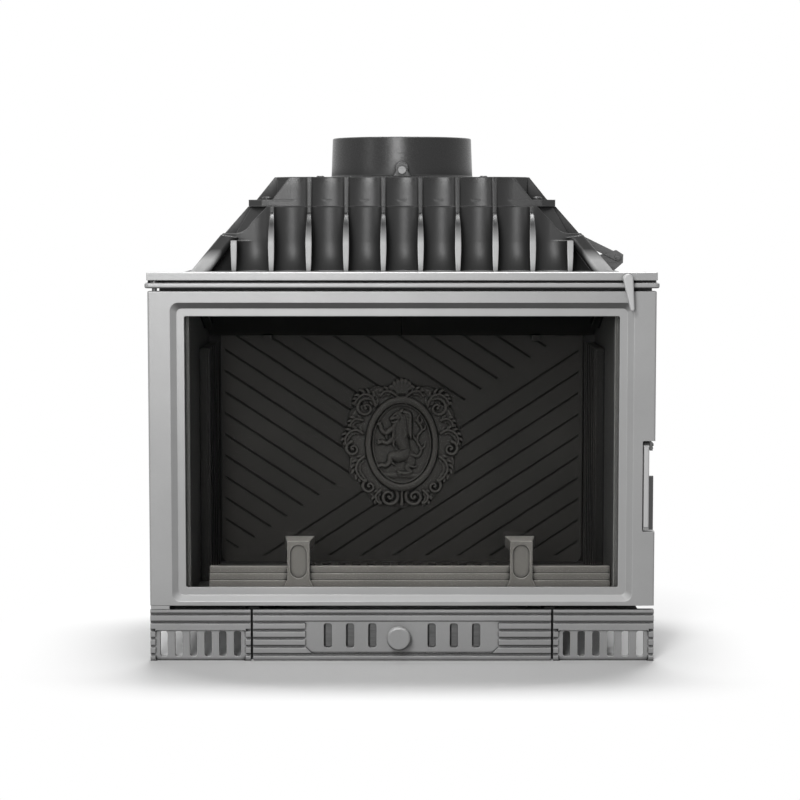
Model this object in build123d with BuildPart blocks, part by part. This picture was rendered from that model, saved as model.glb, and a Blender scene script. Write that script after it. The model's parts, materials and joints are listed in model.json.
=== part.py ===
from build123d import *
import math
import os

os.makedirs("parts", exist_ok=True)

# Closed cast-iron fireplace insert, in millimetres.
# +Z is up, the door faces -Y, and the flue stands on the Z axis. The floor is at Z = 0.

# ---------------------------------------------------------------- driving dimensions
# door and plinth, as seen from the front
door_width = 700.0
door_height = 436.4
door_thick = 22.0
door_face_y = -205.0
plinth_height = 71.5
door_gap_below = 6.1
door_gap_above = 4.0
stile_width = 49.6
top_rail_width = 34.5
bottom_rail_width = 24.4
moulding_depth = 7.0
moulding_slope = 8.5
moulding_lip = 10.5

# body
body_inset = 47.5
wall_thick = 7.0
base_thick = 10.0
back_outer_y = 190.0
back_fin_depth = 35.0
corner_splay = 53.0
jamb_inset = 14.0
jamb_lip = 4.4
frame_thick = 10.0
frame_gap = 3.0
fireback_face_y = 135.0
fireback_inset = 18.5
fireback_thick = 12.0

# head of the front frame
rail_height = 7.5
groove_height = 3.5
bar_height = 11.0
rail_overhang = 4.0
bar_overhang = 1.0

# hood and flue
rib_pitch = 52.0
hood_lower_height = 90.5
hood_flange_thick = 9.5
hood_upper_height = 41.5
hood_wall = 8.0
collar_height = 57.0
collar_base_r = 102.7
collar_top_r = 100.7
flue_socket_r = 93.3
flue_socket_depth = 29.0
throat_r = 88.0

# damper linkage
rod_inset = 41.3
rod_drop = 9.0
rod_r = 4.5
axle_rise = 9.7
axle_r = 4.0
crank_length = 33.0
crank_angle = 45.0
link_thick = 5.0
link_y = 158.5
lever_tilt = 8.4
lever_length = 41.0

# door hinge and latch
hinge_inset = 9.2
hinge_y = -197.0
hinge_pin_r = 3.5
hinge_pin_reach = 24.0
notch_depth = 17.5
notch_rise = 103.4
notch_length = 126.3
handle_pivot_y = -192.0
pivot_drop = 6.3

# ash drawer and its air shutter
drawer_half_width = 207.0
plinth_thick = 12.0
grille_start_x = 210.5
pan_depth = 280.0
pan_wall = 3.0
slot_pitch = 30.95
air_slot_width = 11.7
air_slot_bottom_z = 17.6
air_slot_top_z = 52.3
shutter_gap_at_rest = 2.5
knob_x = -4.7
knob_z = 34.2
knob_r = 16.5
knob_reach = 20.0

# clearances
run_clear = 0.05
slide_clear = 0.5
loose_clear = 1.0
seat_clear = 0.3

# ---------------------------------------------------------------- derived places
door_bottom_z = plinth_height + door_gap_below
door_top_z = door_bottom_z + door_height
door_half = door_width / 2
door_back_y = door_face_y + door_thick
window_half = door_half - stile_width
window_bottom_z = door_bottom_z + bottom_rail_width
window_top_z = door_top_z - top_rail_width
frame_face_y = door_back_y + frame_gap
frame_back_y = frame_face_y + frame_thick
rail_bottom_z = door_top_z + door_gap_above
rail_top_z = rail_bottom_z + rail_height
bar_bottom_z = rail_top_z + groove_height
body_top_z = bar_bottom_z + bar_height
hood_seam_z = body_top_z + hood_lower_height
hood_top_z = hood_seam_z + hood_upper_height
collar_top_z = hood_top_z + collar_height
axle_z = hood_top_z + axle_rise
rod_x = door_half - rod_inset
rod_z = body_top_z - rod_drop
hinge_x = hinge_inset - door_half
notch_left_x = door_half - notch_depth
notch_bottom_z = door_bottom_z + notch_rise
notch_top_z = notch_bottom_z + notch_length
handle_pivot_z = notch_top_z - pivot_drop
rail_half_width = door_half + rail_overhang
bar_half_width = door_half + bar_overhang
jamb_half_outer = door_half - jamb_inset
jamb_half_inner = window_half - jamb_lip
wall_half_outer = door_half - body_inset
base_bottom_z = plinth_height + 1.5
base_top_z = base_bottom_z + base_thick
top_plate_thick = 8.0
top_plate_z = body_top_z - top_plate_thick
wall_half_inner = wall_half_outer - wall_thick
fireback_half_width = wall_half_inner - fireback_inset
back_inner_y = back_outer_y - wall_thick
splay_y = back_outer_y - corner_splay
splay_x = wall_half_outer - corner_splay
flange_top_z = hood_seam_z + hood_flange_thick
crank_dx = crank_length * math.cos(math.radians(crank_angle))
crank_dz = crank_length * math.sin(math.radians(crank_angle))
crank_y = link_y + link_thick + slide_clear


# ---------------------------------------------------------------- small helpers
def block(x, y, z, mode=Mode.ADD):
    """A box between two values along each axis."""
    with Locations(((x[0] + x[1]) / 2, (y[0] + y[1]) / 2, (z[0] + z[1]) / 2)):
        Box(x[1] - x[0], y[1] - y[0], z[1] - z[0], mode=mode)


def round_x(y, z, radius, x, mode=Mode.ADD):
    """A round bar along X between two values of x."""
    with Locations(Location(((x[0] + x[1]) / 2, y, z), (0, 90, 0))):
        Cylinder(radius, x[1] - x[0], mode=mode)


def round_y(x, z, radius, y, mode=Mode.ADD):
    """A round bar along Y between two values of y."""
    with Locations(Location((x, (y[0] + y[1]) / 2, z), (90, 0, 0))):
        Cylinder(radius, y[1] - y[0], mode=mode)


def round_z(x, y, radius, z, mode=Mode.ADD):
    """A round bar along Z between two values of z."""
    with Locations((x, y, (z[0] + z[1]) / 2)):
        Cylinder(radius, z[1] - z[0], mode=mode)


def front_plane(y):
    """A sketch plane facing the viewer at depth y: local x is X, local y is Z."""
    return Plane(origin=(0, y, 0), x_dir=(1, 0, 0), z_dir=(0, -1, 0))


def side_plane(x):
    """A sketch plane across the part at x: local x is Y, local y is Z."""
    return Plane(origin=(x, 0, 0), x_dir=(0, 1, 0), z_dir=(1, 0, 0))


def plan_outline(half_x, front_y, back_y, splay):
    """Corner points of a plan that is splayed at its two back corners."""
    return [(-half_x, front_y), (half_x, front_y), (half_x, back_y - splay),
            (half_x - splay, back_y), (-half_x + splay, back_y), (-half_x, back_y - splay)]


def octagon(half_x, half_y, cut):
    """Corner points of a plan whose four corners are cut off."""
    return [(-half_x + cut, -half_y), (half_x - cut, -half_y), (half_x, -half_y + cut),
            (half_x, half_y - cut), (half_x - cut, half_y), (-half_x + cut, half_y),
            (-half_x, half_y - cut), (-half_x, -half_y + cut)]


# ================================================================ body castings
chute_half_x = wall_half_outer - 152.5
chute_front_y = -75.0
chute_back_y = 65.0

with BuildPart() as base_plate:
    with BuildSketch(Plane.XY.offset(base_bottom_z)):
        Polygon(*plan_outline(wall_half_outer, frame_back_y, back_outer_y, corner_splay), align=None)
    extrude(amount=base_thick)
    block((-chute_half_x, chute_half_x), (chute_front_y, chute_back_y),
          (base_bottom_z - 1, base_top_z + 1), Mode.SUBTRACT)
base_plate.part.label = "base_plate"
export_step(base_plate.part, "parts/base_plate.step")

bay_half_inner = drawer_half_width - 8.0
bay_wall_thick = 6.0
bay_flange_reach = 8.0
bay_front_y = door_face_y + plinth_thick + loose_clear
bay_back_y = 140.0

for side, name in ((-1, "left_bay_wall"), (1, "right_bay_wall")):
    with BuildPart() as bay_wall:
        inner = side * bay_half_inner
        outer = side * (bay_half_inner + bay_wall_thick)
        rail_inner = side * (bay_half_inner - 9.0)
        block(sorted((inner, outer)), (bay_front_y, bay_back_y), (0, base_bottom_z))
        block(sorted((rail_inner, outer)), (bay_front_y, bay_back_y), (0, 4.0))
        # flange that closes the slit between the drawer and the grille
        block(sorted((outer, outer + side * bay_flange_reach)),
              (bay_front_y, frame_back_y), (0, base_bottom_z))
    bay_wall.part.label = name
    export_step(bay_wall.part, f"parts/{name}.step")

foot_half_x = 24.0
foot_y = (60.0, 120.0)
foot_x = wall_half_outer - 47.5

with BuildPart() as rear_feet:
    for side in (-1, 1):
        block((side * foot_x - foot_half_x, side * foot_x + foot_half_x), foot_y, (0, 8.0))
        block((side * foot_x - foot_half_x, side * foot_x + foot_half_x), foot_y,
              (base_bottom_z - 8.0, base_bottom_z))
        block((side * foot_x - 4.0, side * foot_x + 4.0), foot_y, (8.0, base_bottom_z - 8.0))
        block((side * foot_x - foot_half_x, side * foot_x + foot_half_x),
              (foot_y[0] + 26.0, foot_y[0] + 34.0), (8.0, base_bottom_z - 8.0))
rear_feet.part.label = "rear_feet"
export_step(rear_feet.part, "parts/rear_feet.step")

wall_fin_depth = 7.5
wall_fin_thick = 6.0
wall_fin_pitch = 38.0
wall_fin_count = 7
wall_fin_top_z = 500.0

for side, name in ((-1, "left_side_wall"), (1, "right_side_wall")):
    with BuildPart() as side_wall:
        inner = side * wall_half_inner
        outer = side * wall_half_outer
        fin_tip = side * (wall_half_outer + wall_fin_depth)
        block(sorted((inner, outer)), (frame_back_y, splay_y), (base_top_z, top_plate_z))
        for index in range(wall_fin_count):
            fin_y = frame_back_y + 40.0 + index * wall_fin_pitch
            block(sorted((outer, fin_tip)), (fin_y - wall_fin_thick / 2, fin_y + wall_fin_thick / 2),
                  (base_top_z + 12.0, wall_fin_top_z))
        fillet(side_wall.edges().filter_by(Axis.Z).group_by(Axis.X)[0 if side < 0 else -1], 1.5)
    side_wall.part.label = name
    export_step(side_wall.part, f"parts/{name}.step")

back_fin_count = 9
back_fin_pitch = 48.0
back_fin_thick = 6.0
splay_inset = wall_thick * math.tan(math.radians(22.5))

with BuildPart() as back_wall:
    with BuildSketch(Plane.XY.offset(base_top_z)):
        Polygon((-wall_half_outer, splay_y), (-wall_half_inner, splay_y),
                (-wall_half_inner, splay_y + splay_inset), (-splay_x + splay_inset, back_inner_y),
                (splay_x - splay_inset, back_inner_y), (wall_half_inner, splay_y + splay_inset),
                (wall_half_inner, splay_y), (wall_half_outer, splay_y),
                (splay_x, back_outer_y), (-splay_x, back_outer_y), align=None)
    extrude(amount=top_plate_z - base_top_z)
    for index in range(back_fin_count):
        fin_x = (index - (back_fin_count - 1) / 2) * back_fin_pitch
        with BuildSketch(side_plane(fin_x - back_fin_thick / 2)):
            Polygon((back_outer_y - 1, base_top_z + 12), (back_outer_y, base_top_z + 12),
                    (back_outer_y + back_fin_depth, base_top_z + 40),
                    (back_outer_y + back_fin_depth, top_plate_z - 60),
                    (back_outer_y, top_plate_z - 20), (back_outer_y - 1, top_plate_z - 20), align=None)
        extrude(amount=back_fin_thick)
back_wall.part.label = "back_wall"
export_step(back_wall.part, "parts/back_wall.step")

hood_opening = (wall_half_outer - 40.5, 108.0, 26.0)

with BuildPart() as top_plate:
    with BuildSketch(Plane.XY.offset(top_plate_z)):
        Polygon(*plan_outline(wall_half_outer, frame_back_y, back_outer_y, corner_splay), align=None)
        Polygon(*octagon(*hood_opening), align=None, mode=Mode.SUBTRACT)
    extrude(amount=top_plate_thick)
top_plate.part.label = "top_plate"
export_step(top_plate.part, "parts/top_plate.step")

# front frame: jambs, sill and head behind the door, with a bar, a groove and a rail over the door
sill_top_z = window_bottom_z - 4.0
head_bottom_z = window_top_z + 1.0
rail_face_y = door_face_y - 2.0
groove_back_y = hinge_y + hinge_pin_r + 4.5
lug_bottom_z = plinth_height + 0.4
lug_top_z = door_bottom_z - slide_clear
lug_x = (1.0 - door_half, 27.0 - door_half)
lip_drop = 14.0
lip_end_x = door_half - 4.0

with BuildPart() as front_frame:
    block((-jamb_half_outer, jamb_half_outer), (frame_face_y, frame_back_y), (base_bottom_z, body_top_z))
    block((-jamb_half_inner, jamb_half_inner), (frame_face_y - 1, frame_back_y + 1),
          (sill_top_z, head_bottom_z), Mode.SUBTRACT)
    block((-bar_half_width, bar_half_width), (door_face_y, frame_back_y), (bar_bottom_z, body_top_z))
    block((-bar_half_width, bar_half_width), (groove_back_y, frame_back_y), (rail_bottom_z, bar_bottom_z))
    with BuildSketch(Plane.XY.offset(rail_bottom_z)):
        with Locations((0, (rail_face_y + frame_back_y) / 2)):
            RectangleRounded(2 * rail_half_width, frame_back_y - rail_face_y, 6.0)
    extrude(amount=rail_height)
    block(lug_x, (door_face_y + 1, frame_back_y), (lug_bottom_z, lug_top_z))
    # lip that closes the slit over the door on the latch side
    block((jamb_half_outer - 1, lip_end_x), (frame_face_y, frame_back_y),
          (rail_bottom_z - lip_drop, rail_bottom_z + 1))
    rail_edges = front_frame.edges().filter_by(Axis.X).group_by(Axis.Y)[0]
    fillet(rail_edges, 2.5)
    bar_edges = (front_frame.edges().filter_by(Axis.X)
                 .filter_by_position(Axis.Z, body_top_z - 0.1, body_top_z + 0.1)
                 .filter_by_position(Axis.Y, door_face_y - 0.1, door_face_y + 0.1))
    fillet(bar_edges, 1.8)
    round_z(hinge_x, hinge_y, hinge_pin_r + run_clear, (rail_bottom_z - 1, rail_top_z + 1), Mode.SUBTRACT)
    round_z(hinge_x, hinge_y, hinge_pin_r + run_clear, (lug_bottom_z - 1, lug_top_z + 1), Mode.SUBTRACT)
    round_y(rod_x, rod_z, rod_r + run_clear, (rail_face_y - 1, frame_back_y + 1), Mode.SUBTRACT)
front_frame.part.label = "front_frame"
export_step(front_frame.part, "parts/front_frame.step")

# ---------------------------------------------------------------- firebox lining
liner_face_x = wall_half_inner - 15.5
liner_front_y = -30.0
liner_back_y = fireback_face_y - 0.5
liner_top_z = body_top_z - 115.0
liner_rib_count = 6

for side, name in ((-1, "left_side_liner"), (1, "right_side_liner")):
    with BuildPart() as side_liner:
        face = side * (liner_face_x + 3.0)
        rib_tip = side * liner_face_x
        back = side * (wall_half_inner - slide_clear)
        block(sorted((face, back)), (liner_front_y, liner_back_y), (base_top_z, liner_top_z))
        rib_pitch_y = (liner_back_y - liner_front_y - 12.0) / (liner_rib_count - 1)
        for index in range(liner_rib_count):
            rib_y = liner_front_y + 6.0 + index * rib_pitch_y
            block(sorted((rib_tip, face)), (rib_y - 5.0, rib_y + 5.0), (base_top_z, liner_top_z))
    side_liner.part.label = name
    export_step(side_liner.part, f"parts/{name}.step")

# fireback with slanting grooves that meet on one long diagonal, and an oval medallion
fireback_bottom_z = base_top_z + 1.0
fireback_top_z = body_top_z - 70.0
panel_half_width = fireback_half_width - 6.0
panel_bottom_z = fireback_bottom_z + 11.0
spine_low = (21.0 - fireback_half_width, panel_bottom_z + 4.0)
spine_high = (fireback_half_width - 15.0, fireback_top_z - 31.0)
groove_pitch_z = 32.7
groove_width = 4.0
groove_depth = 2.5
medallion_z = (fireback_bottom_z + fireback_top_z) / 2 - 8.0
medallion_half_x = 91.0
medallion_half_z = 99.5
oval_half_x = 47.5
oval_half_z = 63.5
spine_slope = (spine_high[1] - spine_low[1]) / (spine_high[0] - spine_low[0])
spine_angle = math.degrees(math.atan(spine_slope))
groove_run = 900.0

with BuildPart() as fireback:
    with BuildSketch(front_plane(fireback_face_y + fireback_thick)):
        with Locations((0, (fireback_bottom_z + fireback_top_z) / 2)):
            RectangleRounded(2 * fireback_half_width, fireback_top_z - fireback_bottom_z, 14.0)
    extrude(amount=fireback_thick)
    # grooves below the diagonal run along it, those above it fall the other way
    with BuildSketch(front_plane(fireback_face_y + groove_depth)) as lower_grooves:
        for index in range(1, 12):
            middle_z = spine_low[1] - spine_slope * spine_low[0] - index * groove_pitch_z
            with Locations(Location((0, middle_z), spine_angle)):
                Rectangle(groove_run, groove_width)
        with BuildSketch(mode=Mode.INTERSECT):
            Polygon((panel_half_width, panel_bottom_z), (panel_half_width, spine_high[1]),
                    spine_high, spine_low, (spine_low[0], panel_bottom_z), align=None)
    extrude(amount=groove_depth + 1, mode=Mode.SUBTRACT)
    with BuildSketch(front_plane(fireback_face_y + groove_depth)) as upper_grooves:
        for index in range(-8, 15):
            middle_z = medallion_z + (index - 3) * groove_pitch_z
            with Locations(Location((0, middle_z), -spine_angle)):
                Rectangle(groove_run, groove_width)
        with BuildSketch(mode=Mode.INTERSECT):
            Polygon((-panel_half_width, panel_bottom_z + 2), (spine_low[0] - 4, spine_low[1] + 3),
                    (spine_high[0] - 4, spine_high[1] + 3), (spine_high[0] - 4, fireback_top_z - 12),
                    (-panel_half_width, fireback_top_z - 12), align=None)
    extrude(amount=groove_depth + 1, mode=Mode.SUBTRACT)
    # medallion: a scalloped shield with a raised oval rim
    with BuildSketch(front_plane(fireback_face_y + 1)):
        with Locations((0, medallion_z)):
            Ellipse(medallion_half_x - 12, medallion_half_z - 12)
        for index in range(12):
            turn = math.radians(30 * index)
            lobe_x = (medallion_half_x - 15) * math.sin(turn)
            lobe_z = medallion_z + (medallion_half_z - 15) * math.cos(turn)
            with Locations((lobe_x, lobe_z)):
                Circle(15.0)
    extrude(amount=4.0)
    with BuildSketch(front_plane(fireback_face_y - 2)):
        with Locations((0, medallion_z)):
            Ellipse(oval_half_x + 8, oval_half_z + 8)
            Ellipse(oval_half_x, oval_half_z, mode=Mode.SUBTRACT)
    extrude(amount=5.0)
fireback.part.label = "fireback"
export_step(fireback.part, "parts/fireback.step")

# smoke baffle: two plates that rise from the fireback towards the front
baffle_low_z = fireback_top_z - 34.0
baffle_rise = 0.30
baffle_front_y = -85.0
baffle_back_y = fireback_face_y - 2.0
baffle_thick = 10.0
baffle_half_gap = 0.75

for side, name in ((-1, "left_baffle"), (1, "right_baffle")):
    with BuildPart() as baffle:
        near = side * baffle_half_gap
        far = side * (wall_half_inner - 2.0)
        front_z = baffle_low_z + baffle_rise * (baffle_back_y - baffle_front_y)
        with BuildSketch(side_plane(min(near, far))):
            Polygon((baffle_back_y, baffle_low_z), (baffle_back_y, baffle_low_z + baffle_thick),
                    (baffle_front_y, front_z + baffle_thick), (baffle_front_y, front_z), align=None)
        extrude(amount=abs(far - near))
    baffle.part.label = name
    export_step(baffle.part, f"parts/{name}.step")

# brackets on the side walls and lugs on the fireback carry the baffle
lug_reach = fireback_half_width - 72.0
lug_half_width = 6.0
shelf_half_length = 60.0
shelf_reach = 12.0
shelf_thick = 8.0
with BuildPart() as baffle_supports:
    for side in (-1, 1):
        shelf_z = baffle_low_z + baffle_rise * baffle_back_y
        shelf_drop = baffle_rise * shelf_half_length
        inner = side * (wall_half_inner - shelf_reach)
        outer = side * wall_half_inner
        with BuildSketch(side_plane(min(inner, outer))):
            Polygon((-shelf_half_length, shelf_z + shelf_drop - seat_clear),
                    (shelf_half_length, shelf_z - shelf_drop - seat_clear),
                    (shelf_half_length, shelf_z - shelf_drop - shelf_thick),
                    (-shelf_half_length, shelf_z + shelf_drop - shelf_thick), align=None)
        extrude(amount=abs(outer - inner))
    for side in (-1, 1):
        block((side * lug_reach - lug_half_width, side * lug_reach + lug_half_width),
              (fireback_face_y - 10, fireback_face_y),
              (baffle_low_z - shelf_thick, baffle_low_z - seat_clear))
baffle_supports.part.label = "baffle_supports"
export_step(baffle_supports.part, "parts/baffle_supports.step")

# loose fire grate over the ash chute
grate_half_x = chute_half_x + 14.0
grate_y = (chute_front_y - 12.0, chute_back_y + 12.0)
grate_thick = 12.0
grate_bar_count = 13

with BuildPart() as fire_grate:
    block((-grate_half_x, grate_half_x), grate_y, (base_top_z, base_top_z + grate_thick))
    grate_pitch = 2 * (grate_half_x - 16.0) / grate_bar_count
    for index in range(grate_bar_count):
        slot_x = (index - (grate_bar_count - 1) / 2) * grate_pitch
        block((slot_x - 6.5, slot_x + 6.5), (grate_y[0] + 16, grate_y[1] - 16),
              (base_top_z - 1, base_top_z + grate_thick + 1), Mode.SUBTRACT)
    fillet(fire_grate.edges().filter_by(Axis.Z).group_by(SortBy.LENGTH)[-1].group_by(Axis.X)[0], 6.0)
fire_grate.part.label = "fire_grate"
export_step(fire_grate.part, "parts/fire_grate.step")

# loose log guard: a stepped bar with two hooked prongs
guard_x = (31.0 - wall_half_outer, wall_half_outer - 9.0)
guard_front_y = -158.0
guard_back_y = -136.0
guard_steps = ((0.0, base_top_z + 11.0), (3.0, base_top_z + 21.3), (6.5, base_top_z + 30.6),
               (10.5, base_top_z + 40.0))
prong_xs = (-145.8, 168.2)
prong_half = 15.5
prong_top_z = base_top_z + 78.0
prong_recess_half = 12.0
cap_back_y = -108.0
cap_back_half = 21.0

with BuildPart() as log_guard:
    with BuildSketch(side_plane(guard_x[0])):
        outline = [(guard_front_y, base_top_z)]
        for (setback, top), following in zip(guard_steps, guard_steps[1:] + ((22.0, 0.0),)):
            outline += [(guard_front_y + setback, top), (guard_front_y + following[0], top)]
        outline += [(guard_back_y, base_top_z)]
        Polygon(*outline, align=None)
    extrude(amount=guard_x[1] - guard_x[0])
    for prong_x in prong_xs:
        with BuildSketch(front_plane(guard_back_y)):
            with Locations((prong_x, (base_top_z + prong_top_z) / 2)):
                Rectangle(2 * prong_half, prong_top_z - base_top_z)
            with Locations((prong_x, base_top_z + 22)):
                Trapezoid(2 * prong_half + 22, 44, 65)
        extrude(amount=guard_back_y - guard_front_y)
        with BuildSketch(Plane.XY.offset(prong_top_z - 14)):
            Polygon((prong_x - prong_half, guard_front_y), (prong_x + prong_half, guard_front_y),
                    (prong_x + cap_back_half, cap_back_y), (prong_x - cap_back_half, cap_back_y), align=None)
        extrude(amount=14)
        with BuildSketch(front_plane(guard_front_y + 4)):
            with Locations((prong_x, 132)):
                SlotOverall(48, 2 * prong_recess_half, rotation=90)
        extrude(amount=6, mode=Mode.SUBTRACT)
log_guard.part.label = "log_guard"
export_step(log_guard.part, "parts/log_guard.step")


# ================================================================ hood
# The front of each hood casting is fluted: ribs stand at an even pitch, and the bays between are scooped.
lower_floor_y = -119.0
lower_tip_top_y = -131.0
lower_tip_base_y = -163.0
tip_bend_z = hood_seam_z - 8.5
tip_shoulder_y = -155.0
tip_shoulder_z = hood_seam_z - 30.5
tip_drop_z = body_top_z + 36.0
floor_bend_z = body_top_z + 40.0
floor_bend_r = 70.0
flute_half_width = 23.6
flute_half_at_tip = 21.0
flute_scoop = 13.0
full_rib_count = 8
short_rib_top_z = body_top_z + 43.0
apron_back_y = -100.0
bar_top_z = body_top_z + 52.0
skirt_half = (wall_half_outer - 17.5, wall_half_outer - 66.5, wall_half_outer - 88.9)
skirt_z = (body_top_z, bar_top_z, hood_seam_z)
skirt_depth = (122.0, 114.0, 112.0)
skirt_cut = (30.0, 24.0, 22.0)
bar_outer = ((wall_half_outer - 7.5, body_top_z), (wall_half_outer - 48.5, bar_top_z - 1.0))
bar_inner = ((wall_half_outer - 35.5, body_top_z), (wall_half_outer - 71.5, bar_top_z - 5.0))
bar_round = 7.0
fin_thick = 7.0
full_rib_half = full_rib_count / 2 * rib_pitch
short_rib_half = full_rib_half + rib_pitch
outer_half = bar_outer[0][0]
seam_half = wall_half_outer - 112.5
neck_half = wall_half_outer - 89.5
neck_z = body_top_z + 67.0
fin_root = wall_half_outer - 102.5
fin_top_half = wall_half_outer - 83.5


def floor_depth(z):
    """Depth of the scooped floor of the lower flutes at height z."""
    return lower_floor_y - floor_bend_r + math.sqrt(floor_bend_r**2 - (floor_bend_z - z) ** 2)


with BuildPart() as lower_scoops:
    with BuildSketch(Plane.XY.offset(floor_bend_z)) as scoop_plan:
        for index in range(-full_rib_count // 2 - 1, full_rib_count // 2 + 2):
            bay_x = index * rib_pitch
            bay_y = lower_floor_y - flute_scoop
            mouth_y = lower_floor_y - floor_bend_r + 12
            with Locations((bay_x, bay_y)):
                Ellipse(flute_half_width, flute_scoop)
            Polygon((bay_x - flute_half_width, bay_y), (bay_x + flute_half_width, bay_y),
                    (bay_x + flute_half_at_tip, mouth_y), (bay_x - flute_half_at_tip, mouth_y), align=None)
    extrude(amount=hood_seam_z - floor_bend_z + 5)
    bend_axis = Axis((0, lower_floor_y - floor_bend_r, floor_bend_z), (-1, 0, 0))
    revolve(scoop_plan.sketch, axis=bend_axis, revolution_arc=78)

with BuildPart() as lower_ribs:
    with BuildSketch(side_plane(-short_rib_half)):
        with BuildLine():
            Polyline((apron_back_y, body_top_z), (apron_back_y, hood_seam_z),
                     (lower_tip_top_y, hood_seam_z), (lower_tip_top_y, tip_bend_z))
            ThreePointArc((lower_tip_top_y, tip_bend_z), (tip_shoulder_y, tip_shoulder_z),
                          (lower_tip_base_y, tip_drop_z))
            Polyline((lower_tip_base_y, tip_drop_z), (lower_tip_base_y, body_top_z),
                     (apron_back_y, body_top_z))
        make_face()
    extrude(amount=2 * short_rib_half)
    for side in (-1, 1):
        block(sorted((side * full_rib_half, side * (short_rib_half + 1))), (-170, lower_floor_y),
              (short_rib_top_z, hood_seam_z + 1), Mode.SUBTRACT)
    add(lower_scoops.part, mode=Mode.SUBTRACT)

# stout rounded bars along the two slanting edges
with BuildPart() as corner_bars:
    for side in (-1, 1):
        with BuildSketch(front_plane(apron_back_y)):
            Polygon((side * bar_outer[0][0], bar_outer[0][1]), (side * bar_inner[0][0], bar_inner[0][1]),
                    (side * bar_inner[1][0], bar_inner[1][1]), (side * bar_outer[1][0], bar_outer[1][1]),
                    align=None)
        extrude(amount=70)
    with BuildSketch(side_plane(-outer_half - 5)):
        Polygon((apron_back_y + 10, body_top_z), (lower_tip_base_y + 1, body_top_z),
                (lower_tip_top_y - 6, bar_outer[1][1] + 3), (apron_back_y + 10, bar_outer[1][1] + 3),
                align=None)
    extrude(amount=2 * outer_half + 10, mode=Mode.INTERSECT)
    for bar in corner_bars.solids():
        bar_face = bar.faces().sort_by(Axis.Y)[0]
        fillet(bar_face.edges().sort_by(SortBy.LENGTH)[-2:], bar_round)

with BuildPart() as hood_front:
    # flat apron behind the ribs, curving forward at its foot
    with BuildSketch(side_plane(-outer_half - 5)):
        with BuildLine():
            Polyline((apron_back_y, body_top_z), (apron_back_y, hood_seam_z), (lower_floor_y, hood_seam_z),
                     (lower_floor_y, floor_bend_z))
            bend_middle_z = (floor_bend_z + body_top_z) / 2
            ThreePointArc((lower_floor_y, floor_bend_z), (floor_depth(bend_middle_z), bend_middle_z),
                          (floor_depth(body_top_z), body_top_z))
            Line((floor_depth(body_top_z), body_top_z), (apron_back_y, body_top_z))
        make_face()
    extrude(amount=2 * outer_half + 10)
    add(lower_ribs.part)
    # the whole front keeps inside a slanted outline
    with BuildSketch(front_plane(apron_back_y + 10)):
        with BuildLine() as half_outline:
            Line((0, hood_seam_z), (seam_half, hood_seam_z))
            Line((seam_half, hood_seam_z), (neck_half, neck_z))
            ThreePointArc((neck_half, neck_z), (neck_half + 9, neck_z - 10), (neck_half + 23, bar_top_z + 1))
            Polyline((neck_half + 23, bar_top_z + 1), (bar_outer[1][0] - 1.6, bar_top_z + 1),
                     (outer_half, body_top_z), (0, body_top_z))
            mirror(about=Plane.YZ)
        make_face()
    extrude(amount=90, mode=Mode.INTERSECT)
    add(corner_bars.part)

# the same front faces the back, where its ribs stop short of the damper link
with BuildPart() as hood_back:
    add(hood_front.part.mirror(Plane.XZ))
    block((-outer_half, outer_half), (link_y - loose_clear, -lower_tip_base_y + 1), (body_top_z, hood_seam_z),
          Mode.SUBTRACT)

with BuildPart() as hood_lower:
    for low, high in ((0, 1), (1, 2)):
        for level in (low, high):
            with BuildSketch(Plane.XY.offset(skirt_z[level])):
                Polygon(*octagon(skirt_half[level], skirt_depth[level], skirt_cut[level]), align=None)
        loft(ruled=True)
    add(hood_front.part)
    add(hood_back.part)
    # plain fins on the two ends
    for index in (-1.5, -0.5, 0.5, 1.5):
        for side in (-1, 1):
            with BuildSketch(front_plane(index * rib_pitch + fin_thick / 2)):
                Polygon((side * fin_root, body_top_z), (side * bar_outer[0][0], body_top_z),
                        (side * bar_outer[1][0], bar_outer[1][1]), (side * fin_top_half, hood_seam_z),
                        (side * fin_root, hood_seam_z), align=None)
            extrude(amount=fin_thick)
    # hollow inside
    for low, high in ((0, 1), (1, 2)):
        for level in (low, high):
            with BuildSketch(Plane.XY.offset(skirt_z[level])):
                Polygon(*octagon(skirt_half[level] - 2.2 * hood_wall, skirt_depth[level] - 2.2 * hood_wall,
                                 skirt_cut[level]), align=None)
        loft(ruled=True, mode=Mode.SUBTRACT)
hood_lower.part.label = "hood_lower"
export_step(hood_lower.part, "parts/hood_lower.step")

upper_floor_base_y = -121.0
upper_floor_top_y = -114.0
upper_tip_base_y = -130.0
upper_tip_top_y = -121.0
upper_rib_count = 6
upper_half_base = seam_half - 8.0
upper_half_top = upper_half_base - 24.0
upper_core_half = seam_half - 13.0
upper_core_depth = 112.0
upper_core_cut = 20.0
upper_fin_base = seam_half + 17.0
upper_fin_top = seam_half - 9.0
flange_half_x = seam_half + 27.0
flange_half_y = 120.0
hood_bolt_x = seam_half + 0.7
hood_bolt_y = 112.0
hood_bolt_r = 4.0
upper_height = hood_top_z - hood_seam_z
upper_flute_half = 23.2
upper_flute_scoop = 8.0
upper_tilt = math.degrees(math.atan((upper_floor_top_y - upper_floor_base_y) / upper_height))

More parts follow.
